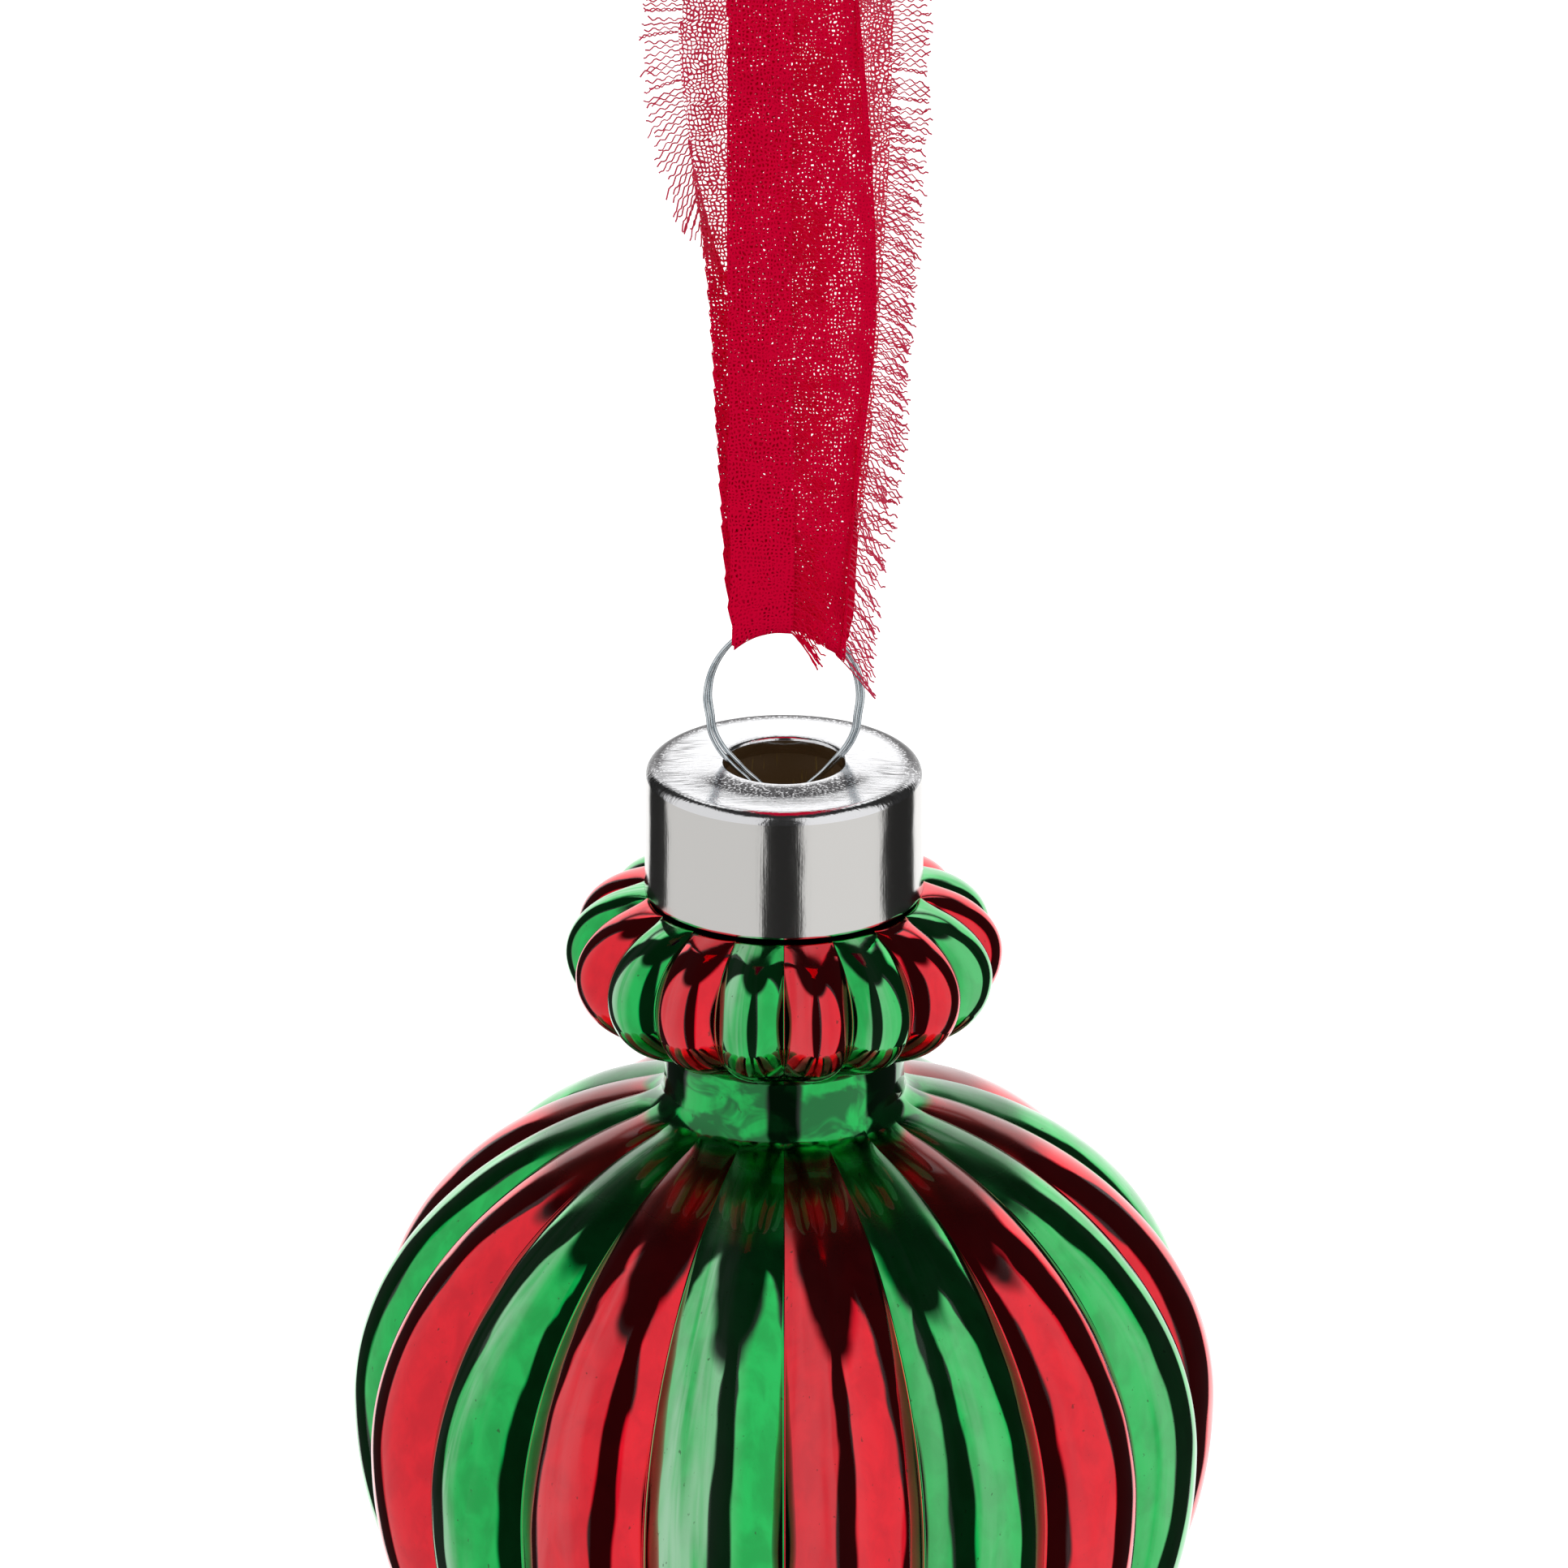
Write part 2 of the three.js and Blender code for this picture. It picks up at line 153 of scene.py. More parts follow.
def gridFaces(rows, columns, closedRows=False, closedColumns=False):
    faces = []
    for i in range(rows if closedRows else rows - 1):
        for j in range(columns if closedColumns else columns - 1):
            a, b = i * columns + j, i * columns + (j + 1) % columns
            c, d = ((i + 1) % rows) * columns + (j + 1) % columns, ((i + 1) % rows) * columns + j
            faces.append((a, b, c, d))
    return faces


def smoothStep(value, low, high):
    t = np.clip((value - low) / (high - low), 0, 1)
    return t * t * (3 - 2 * t)


# Camera: the cap's ellipses give its height angle, and the cap's width its scale

photo = {
    "side": 1932,  # px
    "scale": 0.0734,  # mm per px at the ornament's axis
    "elevation": 22.4,  # degrees
    "distance": 900,  # mm
    "capTopRow": 940,  # px, the middle of the cap's top ring
}


def placeCamera():
    elevation = math.radians(photo["elevation"])
    camera = bpy.data.cameras.new("photoCamera")
    camera.sensor_width = 36
    camera.lens = camera.sensor_width * photo["distance"] / (photo["scale"] * photo["side"])
    camera.clip_end = 10
    holder = bpy.data.objects.new("photoCamera", camera)
    bpy.context.scene.collection.objects.link(holder)
    aimDrop = (photo["side"] / 2 - photo["capTopRow"]) * photo["scale"] / math.cos(elevation)
    aim = capTop - aimDrop * mm
    reach = photo["distance"] * mm
    holder.location = (0, -reach * math.cos(elevation), aim + reach * math.sin(elevation))
    holder.rotation_euler = (math.pi / 2 - elevation, 0, 0)
    bpy.context.scene.camera = holder


placeCamera()
print("camera placed")


# Studio: a white room with two tall softboxes beside a dark camera bay, as the cap's side mirrors them.
# Angles are in degrees: azimuth from the camera to the right, height above the level.

studio = {
    "leftBox": {"from": -113, "to": -17, "top": 58, "level": 0.736},
    "rightBox": {"from": 15, "to": 89, "top": 58, "level": 0.84},
    "backdrop": {"from": 137, "to": 210, "top": 31, "level": 1.16},
    "ceiling": {"from": 150, "to": 206, "top": 56, "level": 1.04, "bottom": 38},  # pale panel over the backdrop
    "underfoot": -200,  # below the lowest angle, so a box without a bottom goes all the way down
    "softness": 2.5,
    "dark": 0.024,
    "floorDrop": 60,  # mm below the ornament's tip
    "floorHalf": 3.0,  # m from its middle to its sides
}


def lightStudio():
    world = bpy.data.worlds.new("studio")
    bpy.context.scene.world = world
    world.use_nodes = True
    tree = world.node_tree
    tree.nodes.clear()
    direction = addNode(tree, "TexCoord").outputs["Generated"]
    parts = addNode(tree, "SeparateXYZ", links={0: direction})
    azimuth = addNode(tree, "Math", {"operation": "DEGREES"}, {0: turnAbout(tree, parts)})
    wrapped = addNode(tree, "Math", {"operation": "FLOORED_MODULO", 1: 360.0}, {0: azimuth})
    height = addNode(tree, "Math", {"operation": "ARCSINE"}, {0: parts.outputs["Z"]})
    height = addNode(tree, "Math", {"operation": "DEGREES"}, {0: height})
    soft = studio["softness"]
    glow = None
    for name, along in (("leftBox", azimuth), ("rightBox", azimuth), ("backdrop", wrapped), ("ceiling", wrapped)):
        light = studio[name]
        band = maskBand(tree, along, light["from"], light["to"], soft)
        rows = maskBand(tree, height, light.get("bottom", studio["underfoot"]), light["top"], soft * 2)
        lit = addNode(tree, "Math", times, {0: band, 1: rows})
        lit = addNode(tree, "Math", {**times, 1: light["level"]}, {0: lit})
        glow = lit if glow is None else addNode(tree, "Math", largest, {0: glow, 1: lit})
    glow = addNode(tree, "Math", {**largest, 1: studio["dark"]}, {0: glow})
    seen = addNode(tree, "LightPath").outputs["Is Camera Ray"]  # the photo's plain white behind the ornament
    strength = addNode(tree, "Mix", {"data_type": "FLOAT", 3: 1.0}, {0: seen, 2: glow})
    background = addNode(tree, "Background", {"Color": "#FFFFFF"}, {"Strength": strength})
    addNode(tree, "OutputWorld", {"is_active_output": True}, {0: background})
    bpy.context.scene.view_settings.view_transform = "Standard"


# White paper floor, bright of itself so that it stays as white as the wall behind it
def whitePaperFloor(tree):
    return addNode(tree, "BsdfPrincipled", {"Base Color": "#FFFFFF", "Roughness": 0.9,
                                            "Emission Color": "#FFFFFF", "Emission Strength": 1.0})


def layFloor():
    height, half = glassTip - studio["floorDrop"] * mm, studio["floorHalf"]
    corners = [(-half, -half, height), (half, -half, height), (half, half, height), (-half, half, height)]
    floor = newMesh("studioFloor", corners, [(0, 1, 2, 3)], [newMaterial(whitePaperFloor)], smooth=False)
    floor.visible_glossy = False
    floor.visible_diffuse = False


lightStudio()
layFloor()
print("studio lit")


# Glass body: blown in a fluted mould, silvered inside, with a clear outer skin that mirrors once more.
# Heights are in mm below the cap's top, radii in mm, and both follow the solid.

glass = {
    "neckRadius": 11.75,
    "mouth": -0.75,
    "collarTop": -12.3,
    "collar": -18.5,
    "collarRadius": 19.9,
    "collarUnder": -25.8,
    "collarTurn": -74.5,  # degrees that the collar's underside turns in before its fillet
    "waistRadius": 11.0,
    "waistFillet": 1.4,
    "shoulder": -32.8,
    "shoulderFillet": 2.0,
    "bulbRadius": 39.9,
    "bulbUpper": 31.9,
    "bulbLower": 35.5,
    "taperRadius": 24.0,
    "taper": 48.5,
    "tipRadius": 2.6,
    "wall": 1.8,
    "flutes": 18,
    "collarFlute": 1.85,
    "bulbFlute": 3.2,
    "fluteFade": 4.0,
    "stepsPerFlute": 14,
}
glass["bulb"] = glass["shoulder"] - glass["bulbUpper"] * math.sqrt(
    1 - (glass["waistRadius"] / glass["bulbRadius"]) ** 2)


def crestOutline():
    g = glass
    rise = math.degrees(math.acos((g["waistRadius"] + g["shoulderFillet"]) / g["bulbRadius"]))
    neck = np.array([(g["neckRadius"], g["mouth"]), (g["neckRadius"], g["mouth"] - 6)])
    upperCollar = arcPoints(g["neckRadius"], g["collar"], g["collarRadius"] - g["neckRadius"],
                            g["collarTop"] - g["collar"], 90, 0, 26)
    lowerCollar = arcPoints(g["waistRadius"], g["collar"], g["collarRadius"] - g["waistRadius"],
                            g["collar"] - g["collarUnder"], 0, g["collarTurn"], 26)
    underFillet = bezierPoints([lowerCollar[-1], (g["waistRadius"], g["collarUnder"]),
                                (g["waistRadius"], g["collarUnder"] - g["waistFillet"])], 8)
    upperBulb = arcPoints(0, g["bulb"], g["bulbRadius"], g["bulbUpper"], rise, 0, 60)
    shoulder = bezierPoints([(g["waistRadius"], g["shoulder"] + g["waistFillet"]),
                             (g["waistRadius"], g["shoulder"]), upperBulb[0]], 8)
    taperZ = g["bulb"] - g["bulbLower"]
    lean, slope = (g["bulbRadius"] - g["taperRadius"]) * 0.57, g["bulbLower"] * 0.31
    lowerBulb = bezierPoints([(g["bulbRadius"], g["bulb"]), (g["bulbRadius"], g["bulb"] - g["bulbLower"] * 0.44),
                              (g["taperRadius"] + lean, taperZ + slope), (g["taperRadius"], taperZ)], 46)
    tipMiddle = taperZ - g["taper"] + g["tipRadius"]
    taper = bezierPoints([(g["taperRadius"], taperZ), (g["taperRadius"] - lean, taperZ - slope),
                          (g["tipRadius"] * 1.6, taperZ - g["taper"] * 0.5), (g["tipRadius"], tipMiddle)], 54)
    tip = arcPoints(0, tipMiddle, g["tipRadius"], g["tipRadius"], 0, -88, 10)
    waist = np.array([(g["waistRadius"], z) for z in np.linspace(
        g["collarUnder"] - g["waistFillet"], g["shoulder"] + g["waistFillet"], 5)])
    return joinedOutline(neck, upperCollar, lowerCollar, underFillet, waist, shoulder, upperBulb,
                         lowerBulb, taper, tip)


def fluteDepth(radius, height):
    g = glass
    collar = g["collarFlute"] * smoothStep(radius, g["neckRadius"], g["neckRadius"] + g["fluteFade"])
    root = np.where(height > g["bulb"], g["waistRadius"], g["tipRadius"])
    share = smoothStep(radius, root, root + g["fluteFade"])
    bulb = g["bulbFlute"] * share * radius / g["bulbRadius"]
    return np.where(height > g["collarUnder"], collar, bulb)


def makeGlass(materials):
    g = glass
    crest = crestOutline()
    depth = fluteDepth(crest[:, 0], crest[:, 1])
    steps = g["flutes"] * g["stepsPerFlute"]
    across = np.linspace(-1, 1, g["stepsPerFlute"], endpoint=False)
    across = np.sin(across * math.pi / 2)  # closer steps at the grooves
    offset = np.tile(across, g["flutes"])
    middle = (np.repeat(np.arange(g["flutes"]), g["stepsPerFlute"]) + 0.5) * 2 * math.pi / g["flutes"]
    angle = middle + offset * math.pi / g["flutes"]
    radius = crest[:, :1] - depth[:, None] * offset[None, :] ** 2
    outer = np.stack([radius * np.sin(angle), -radius * np.cos(angle), np.repeat(crest[:, 1:], steps, 1)], -1)
    normal = np.gradient(crest, axis=0)
    normal /= np.linalg.norm(normal, axis=1)[:, None]
    inner = np.stack([crest[:, 0] - depth + normal[:, 1] * g["wall"], crest[:, 1] - normal[:, 0] * g["wall"]], 1)
    kept = [inner[0]]
    for point in inner[1:]:
        if point[0] > g["wall"] / 2 and point[1] < kept[-1][1] - 0.3:
            kept.append(point)
    inner = np.array(kept)
    inside = np.stack([inner[:, :1] * np.sin(angle), -inner[:, :1] * np.cos(angle),
                       np.repeat(inner[:, 1:], steps, 1)], -1)
    points = np.concatenate([inside[::-1].reshape(-1, 3), outer.reshape(-1, 3)])
    faces = gridFaces(len(inner) + len(crest), steps, closedColumns=True)
    faces.append(tuple(range(steps)))
    faces.append(tuple(reversed(range(len(points) - steps, len(points)))))
    points = points * mm + np.array([0, 0, capTop])
    piece = newMesh("glassBody", points, faces, materials)
    backSlot = 1
    insideFaces = (len(inner) - 1) * steps
    slots = np.zeros(len(faces), dtype=np.int32)
    slots[:insideFaces] = backSlot
    slots[-2] = backSlot  # the small face that closes the hollow's lower end
    piece.data.polygons.foreach_set("material_index", slots)
    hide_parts("glass_body")
    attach(piece, "glass")


# Silvered soda-lime glass under translucent lacquer: the silver gives a tinted mirror, and the clear skin over it
# a second, untinted one. Blown walls are wavy, so the mirrored strips waver from rib to rib.
silvering = {
    "red": "#FA1A2E",
    "redDeep": "#E6142A",
    # pale milky lacquer colours, partly painted sheen of the left light
    "redMilkAndSheen": "#F07C80",
    "green": "#14CC5E",
    "greenDeep": "#0BB24E",
    "greenMilkAndSheen": "#B2E6BE",
    "waist": (-24.6, -33.4),  # mm below the cap's top, lacquered green all round
    "dullShadedFoot": (-33.0, -37.6),  # at the waist's foot, duller, and painted darker there as shade
    # painted shade for the waist's foot
    "footShadeColor": "#16220F",
    # painted shade in blots on the waist
    "waistShade": "#0A7436",
    "speck": "#2A2212",  # dust and bubbles caught in the lacquer
}


def ribPlace(tree):  # the place itself, which of the two colours its rib has, and the share across the rib, -1 to 1
    parts = addNode(tree, "SeparateXYZ", links={0: addNode(tree, "TexCoord").outputs["Object"]})
    ribs = addNode(tree, "Math", {**times, 1: glass["flutes"] / (2 * math.pi)}, {0: turnAbout(tree, parts)})
    whole = addNode(tree, "Math", {"operation": "FLOOR"}, {0: ribs})
    odd = addNode(tree, "Math", {"operation": "FLOORED_MODULO", 1: 2.0}, {0: whole})
    part = addNode(tree, "Math", {"operation": "SUBTRACT"}, {0: ribs, 1: whole})
    across = addNode(tree, "Math", {"operation": "MULTIPLY_ADD", 1: 2.0, 2: -1.0}, {0: part})
    return parts, odd, across


def heightBand(tree, parts, name, soft):  # a band of the silvering's heights, with its edges' softness in mm
    high, low = [capTop + height * mm for height in silvering[name]]
    return maskBand(tree, parts.outputs["Z"], low, high, soft * mm)


def silveredLacqueredGlass(tree):
    color = silvering
    parts, odd, across = ribPlace(tree)
    waist = heightBand(tree, parts, "waist", 0.2)
    green = addNode(tree, "Math", largest, {0: odd, 1: waist})
    mottling = addNode(tree, "TexNoise", {**ownScale, "Detail": 4.0, "Distortion": 0.4},
                       {"Vector": spacePoint(tree, (2.2, 2.2, 4))})
    density = addNode(tree, "MapRange", {**eased, 1: 0.3, 2: 0.7}, {0: mottling})
    runs = addNode(tree, "TexNoise", {**ownScale, "Detail": 3.0, "Distortion": 0.6},
                   {"Vector": roundPoint(tree, (3.6, 30, 20))})
    runs = addNode(tree, "MapRange", {**eased, 1: 0.3, 2: 0.66}, {0: runs})

    # milky runs, partly real milky lacquer and partly painted sheen of the left light: pale on each rib's left part,
    # which faces the left softbox, fainter towards the ornament's right, and none on the waist
    litLeftPart = maskBand(tree, across, -0.92, 0.15, 0.35)
    litLeftSide = addNode(tree, "MapRange", {1: 14 * mm, 2: -12 * mm, 3: 0.25, 4: 1.0}, {0: parts.outputs["X"]})
    litLeftPart = addNode(tree, "Math", times, {0: litLeftPart, 1: litLeftSide})
    litLeftPart = addNode(tree, "Math", {"operation": "SUBTRACT", "use_clamp": True}, {0: litLeftPart, 1: waist})
    milkAndSheen = addNode(tree, "Math", times, {0: litLeftPart, 1: runs})
    redMilkAndSheen = addNode(tree, "Math", {**times, 1: 0.35}, {0: milkAndSheen})
    redCoat = addNode(tree, "Mix", {**colorMix, 6: color["redDeep"], 7: color["red"]}, {0: density})
    redCoat = addNode(tree, "Mix", {**colorMix, 7: color["redMilkAndSheen"]}, {0: redMilkAndSheen, 6: redCoat})
    greenCoat = addNode(tree, "Mix", {**colorMix, 6: color["greenDeep"], 7: color["green"]}, {0: density})
    greenCoat = addNode(tree, "Mix", {**colorMix, 7: color["greenMilkAndSheen"]}, {0: milkAndSheen, 6: greenCoat})
    coat = addNode(tree, "Mix", colorMix, {0: green, 6: redCoat, 7: greenCoat})

    # specks all over, then painted shade: dark blots on the waist, and a duller band at its foot that is painted
    # dark
    specks = addNode(tree, "TexNoise", {**ownScale, "Detail": 2.0}, {"Vector": spacePoint(tree, (0.5, 0.5, 0.9))})
    specks = addNode(tree, "MapRange", {**eased, 1: 0.7, 2: 0.78}, {0: specks})
    specks = addNode(tree, "Math", {**times, 1: 0.6}, {0: specks})
    coat = addNode(tree, "Mix", {**colorMix, 7: color["speck"]}, {0: specks, 6: coat})
    shadeBlots = addNode(tree, "TexNoise", {**ownScale, "Detail": 3.0, "Distortion": 0.6},
                    {"Vector": spacePoint(tree, (4, 4, 3))})
    shadeBlots = addNode(tree, "MapRange", {**eased, 1: 0.4, 2: 0.56}, {0: shadeBlots})
    shadeBlots = addNode(tree, "Math", times, {0: shadeBlots, 1: waist})
    coat = addNode(tree, "Mix", {**colorMix, 7: color["waistShade"]}, {0: shadeBlots, 6: coat})
    dullShadedFoot = heightBand(tree, parts, "dullShadedFoot", 1.4)
    roughness = addNode(tree, "MapRange", {3: 0.045, 4: 0.3}, {0: dullShadedFoot})
    dullShadedFoot = addNode(tree, "Math", {**times, 1: 0.7}, {0: dullShadedFoot})
    coat = addNode(tree, "Mix", {**colorMix, 7: color["footShadeColor"]}, {0: dullShadedFoot, 6: coat})

    # the blown wall's slow waves and fine ripples, and other waves in the clear skin
    ripples = bumpLayers(tree, [(spacePoint(tree, (8, 8, 13)), 1.0, 0.55),
                                (spacePoint(tree, (2.2, 2.2, 8)), 1.0, 0.025)])
    skin = bumpLayers(tree, [(spacePoint(tree, (7, 7, 14)), 1.0, 0.35)])
    return addNode(tree, "BsdfPrincipled",
                   {"Metallic": 1.0, "Coat Weight": 0.7, "Coat Roughness": 0.015, "Coat IOR": 1.5},
                   {"Base Color": coat, "Roughness": roughness, "Normal": ripples, "Coat Normal": skin})


# The silver's uncoated back, brown where light leaks through it, with yellowish runs, and a faint painted glow that
# brightens it
def brownSilverBackWithGlow(tree):
    streaks = addNode(tree, "TexNoise", {**ownScale, "Detail": 2.0}, {"Vector": spacePoint(tree, (0.35, 0.35, 3))})
    streaks = addNode(tree, "MapRange", {**eased, 1: 0.6, 2: 0.72}, {0: streaks})
    base = addNode(tree, "Mix", {**colorMix, 6: "#5A4532", 7: "#A8903C"}, {0: streaks})
    return addNode(tree, "BsdfPrincipled", {"Metallic": 0.3, "Roughness": 0.5, "Emission Color": "#6B5133",
                                            "Emission Strength": 0.16}, {"Base Color": base})


makeGlass([newMaterial(silveredLacqueredGlass), newMaterial(brownSilverBackWithGlow)])
print("glass made")


# Cap: drawn from thin steel sheet and plated with bright nickel, worn and scratched on its top. Sizes in mm.

cap = {
    "topRadius": 12.5,
    "footRadius": 12.7,
    "height": 12.0,
    "wall": 0.45,
    "edge": 1.1,
    "hole": 5.45,
    "lip": 0.4,
    "lipDepth": 1.3,
    "dish": 0.3,  # the top rises this much towards its hole
    "steps": 192,
}


def makeCap(materials):
    c = cap
    edge, lip = c["topRadius"] - c["edge"], c["hole"] + c["lip"]
    foot, bevel = c["footRadius"], 0.1
    side = [(foot - c["wall"] + 0.05, -c["height"]), (foot - bevel, -c["height"]), (foot, -c["height"] + bevel)]
    side += [(foot - 0.02 * i, -c["height"] + h) for i, h in enumerate((0.3, 0.8, 2, 4, 6, 8, 10), 1)]
    plateR = np.linspace(edge, lip, 18)
    plateZ = c["dish"] * (1 - smoothStep(plateR, lip + 0.3, edge - 0.6))
    plate = np.stack([plateR, plateZ], 1)
    outer = joinedOutline(
        np.array(side), arcPoints(edge, -c["edge"], c["edge"], c["edge"], 0, 90, 14), plate,
        arcPoints(lip, c["dish"] - c["lip"], c["lip"], c["lip"], 90, 180, 8),
        np.array([(c["hole"], c["dish"] - c["lip"] - 0.15), (c["hole"], -c["lipDepth"] + 0.1)]),
        np.array([(c["hole"] + 0.1, -c["lipDepth"])]),
    )
    inner = joinedOutline(
        np.array([(c["hole"] + c["wall"] - 0.1, -c["lipDepth"]), (c["hole"] + c["wall"], -c["lipDepth"] + 0.1)]),
        np.array([(c["hole"] + c["wall"], -c["wall"]), (edge, -c["wall"] - 0.05)]),
        arcPoints(edge, -c["edge"], c["edge"] - c["wall"], c["edge"] - c["wall"], 80, 0, 6),
        np.array([(foot - c["wall"], -c["height"] + 0.1)]),
    )
    outline = np.concatenate([outer, inner])
    angle = np.linspace(0, 2 * math.pi, c["steps"], endpoint=False)
    ring = np.stack([outline[:, :1] * np.cos(angle), outline[:, :1] * np.sin(angle),
                     np.repeat(outline[:, 1:], c["steps"], 1)], -1).reshape(-1, 3)
    faces = gridFaces(len(outline), c["steps"], closedRows=True, closedColumns=True)
    piece = newMesh("capShell", ring * mm + np.array([0, 0, capTop]), faces, materials)
    brushed, bare = 1, 2
    rows = np.zeros(len(outline), dtype=np.int32)
    plateStart = int(np.argmax(outline[:, 1] > -0.97 * c["edge"]))
    rows[plateStart:len(outer) - 4] = brushed
    rows[len(outer) - 1:] = bare
    piece.data.polygons.foreach_set("material_index", np.repeat(rows, c["steps"]))
    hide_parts("cap")
    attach(piece, "cap")


# Bright nickel over drawn steel: fine upright draw marks blur the strips' edges, and small pits speckle them
def drawnNickelPlate(tree):
    marks = bumpLayers(tree, [(roundPoint(tree, (1.1, 30, 7)), 3.0, 0.006),
                              (spacePoint(tree, (0.3, 0.3, 0.5)), 2.0, 0.004),
                              (roundPoint(tree, (14, 30, 6)), 1.0, 0.05)])
    return addNode(tree, "BsdfPrincipled", {"Base Color": "#E2E0DD", "Metallic": 1.0, "Roughness": 0.13},
                   {"Normal": marks})


# The same plate brushed across the top: worn lines along one way, dark pits round the rim and before the hole, and a
# painted dark reflection on the rim's roll at the back.
# Radii are in mm, and turns in degrees from the front.
def brushedNickelPlate(tree):
    parts = addNode(tree, "SeparateXYZ", links={0: roundPoint(tree, (1, 1, 1))})
    radius = parts.outputs["Y"]
    aside = addNode(tree, "Math", {"operation": "ABSOLUTE"}, {0: parts.outputs["X"]})
    lines = addNode(tree, "TexNoise", {**ownScale, "Detail": 3.0}, {"Vector": spacePoint(tree, (3.4, 0.2, 1), 7)})
    pits = addNode(tree, "TexNoise", {**ownScale, "Detail": 2.0}, {"Vector": spacePoint(tree, (0.24, 0.24, 0.24))})
    patches = addNode(tree, "TexNoise", {**ownScale, "Detail": 1.0}, {"Vector": spacePoint(tree, (5, 3, 4))})

    # pits: on the rim's back half and in front of the hole
    rim = addNode(tree, "MapRange", {**eased, 1: 55, 2: 95}, {0: aside})
    rim = addNode(tree, "Math", times, {0: maskBand(tree, radius, 10.8, 13.5, 0.6), 1: rim})
    middle = addNode(tree, "MapRange", {**eased, 1: 72, 2: 50}, {0: aside})
    middle = addNode(tree, "Math", times, {0: maskBand(tree, radius, 6.2, 8.7, 0.5), 1: middle})
    worn = addNode(tree, "Math", largest, {0: rim, 1: middle})
    pitted = addNode(tree, "MapRange", {**eased, 1: 0.36, 2: 0.5}, {0: pits})
    pitted = addNode(tree, "Math", times, {0: worn, 1: pitted})

    # scratches: in patches at both sides of the hole
    sides = addNode(tree, "Math", times, {0: maskBand(tree, radius, 8.6, 12.2, 1.4),
                                          1: maskBand(tree, aside, 48, 125, 16)})
    patches = addNode(tree, "MapRange", {**eased, 1: 0.35, 2: 0.62}, {0: patches})
    sides = addNode(tree, "Math", times, {0: sides, 1: patches})
    scratched = addNode(tree, "MapRange", {**eased, 1: 0.5, 2: 0.62}, {0: lines})
    scratched = addNode(tree, "Math", times, {0: sides, 1: scratched})

    dark = addNode(tree, "Math", largest, {0: scratched, 1: pitted})
    plate = addNode(tree, "Mix", {**colorMix, 6: "#F4F4F6", 7: "#4E4C4E"}, {0: dark})
    darkRimReflection = addNode(tree, "MapRange", {**eased, 1: 11.1, 2: 11.5}, {0: radius})  # the edge's roll at the back, painted dark as a reflection
    behind = addNode(tree, "MapRange", {**eased, 1: 75, 2: 105}, {0: aside})
    darkRimReflection = addNode(tree, "Math", times, {0: darkRimReflection, 1: behind})
    plate = addNode(tree, "Mix", {**colorMix, 7: "#3A383A"}, {0: darkRimReflection, 6: plate})
    brushed = addNode(tree, "Bump", {"Distance": 0.02 * mm}, {"Height": lines})
    brushed = addNode(tree, "Bump", {"Distance": 0.012 * mm}, {"Height": pits, "Normal": brushed})
    return addNode(tree, "BsdfPrincipled", {"Metallic": 1.0, "Roughness": 0.13},
                   {"Base Color": plate, "Normal": brushed})


# Bare steel under the cap, dull and brownish
def bareSteelInside(tree):
    return addNode(tree, "BsdfPrincipled", {"Base Color": "#8A7B6C", "Metallic": 1.0, "Roughness": 0.5})


makeCap([newMaterial(surface) for surface in (drawnNickelPlate, brushedNickelPlate, bareSteelInside)])
print("cap made")


# Wire hanger: one length of drawn spring wire, a ring of two turns whose ends spring apart in the neck.
# Sizes in mm, and heights from the cap's top.

wire = {
    "radius": 0.215,
    "ring": 7.09,
    "ringInner": 6.68,
    "stretch": 0.3,
    "rise": 6.5,
    "pitch": 0.5,  # the turns lie closer than in the solid, whose meshes keep a gap
    "pinch": 2.9,
    "legLength": 15.0,
    "eyeDepth": 3.4,
    "pair": ((6.45, 3.18), (5.71, 1.59), (4.42, 0.0), (2.9, -1.59)),  # the two strands' middle line, x and height
    "apart": 0.4,  # between the middles of two paired strands
    "sides": 14,
    "swing": 30,  # degrees to each side
}


def smoothRoute(points, stepsPerSpan):
    points = np.array(points, dtype=float)
    padded = np.concatenate([[2 * points[0] - points[1]], points, [2 * points[-1] - points[-2]]])
    route = []
    for i in range(1, len(padded) - 2):
        p0, p1, p2, p3 = padded[i - 1:i + 3]
        for t in np.linspace(0, 1, stepsPerSpan, endpoint=False):
            route.append(0.5 * (2 * p1 + (p2 - p0) * t + (2 * p0 - 5 * p1 + 4 * p2 - p3) * t ** 2
                                + (3 * p1 - p0 - 3 * p2 + p3) * t ** 3))
    route.append(points[-1])
    return np.array(route)


def tubeMesh(route, radius, sides):
    along = np.gradient(route, axis=0)
    along /= np.linalg.norm(along, axis=1)[:, None]
    side = np.cross(along[0], (0.3, 0.9, 0.2))
    rings = []
    for point, forward in zip(route, along):
        side = side - forward * np.dot(side, forward)
        side /= np.linalg.norm(side)
        up = np.cross(forward, side)
        angle = np.linspace(0, 2 * math.pi, sides, endpoint=False)[:, None]
        rings.append(point + radius * (np.cos(angle) * side + np.sin(angle) * up))
    points = np.concatenate(rings)
    faces = gridFaces(len(route), sides, closedColumns=True)
    faces.append(tuple(reversed(range(sides))))
    faces.append(tuple(range(len(points) - sides, len(points))))
    return points, faces


def ringTurn(leftRadius, rightRadius, middleY):
    points = []
    for angle in range(-105, 106, 15):
        share = min(max((angle + 90) / 180, 0), 1)
        radius = leftRadius + (rightRadius - leftRadius) * share
        turn = math.radians(angle)
        points.append((radius * math.sin(turn), middleY + wire["pitch"] * (share - 0.5) * 0.5,
                       wire["rise"] + (radius + wire["stretch"]) * math.cos(turn)))
    return points


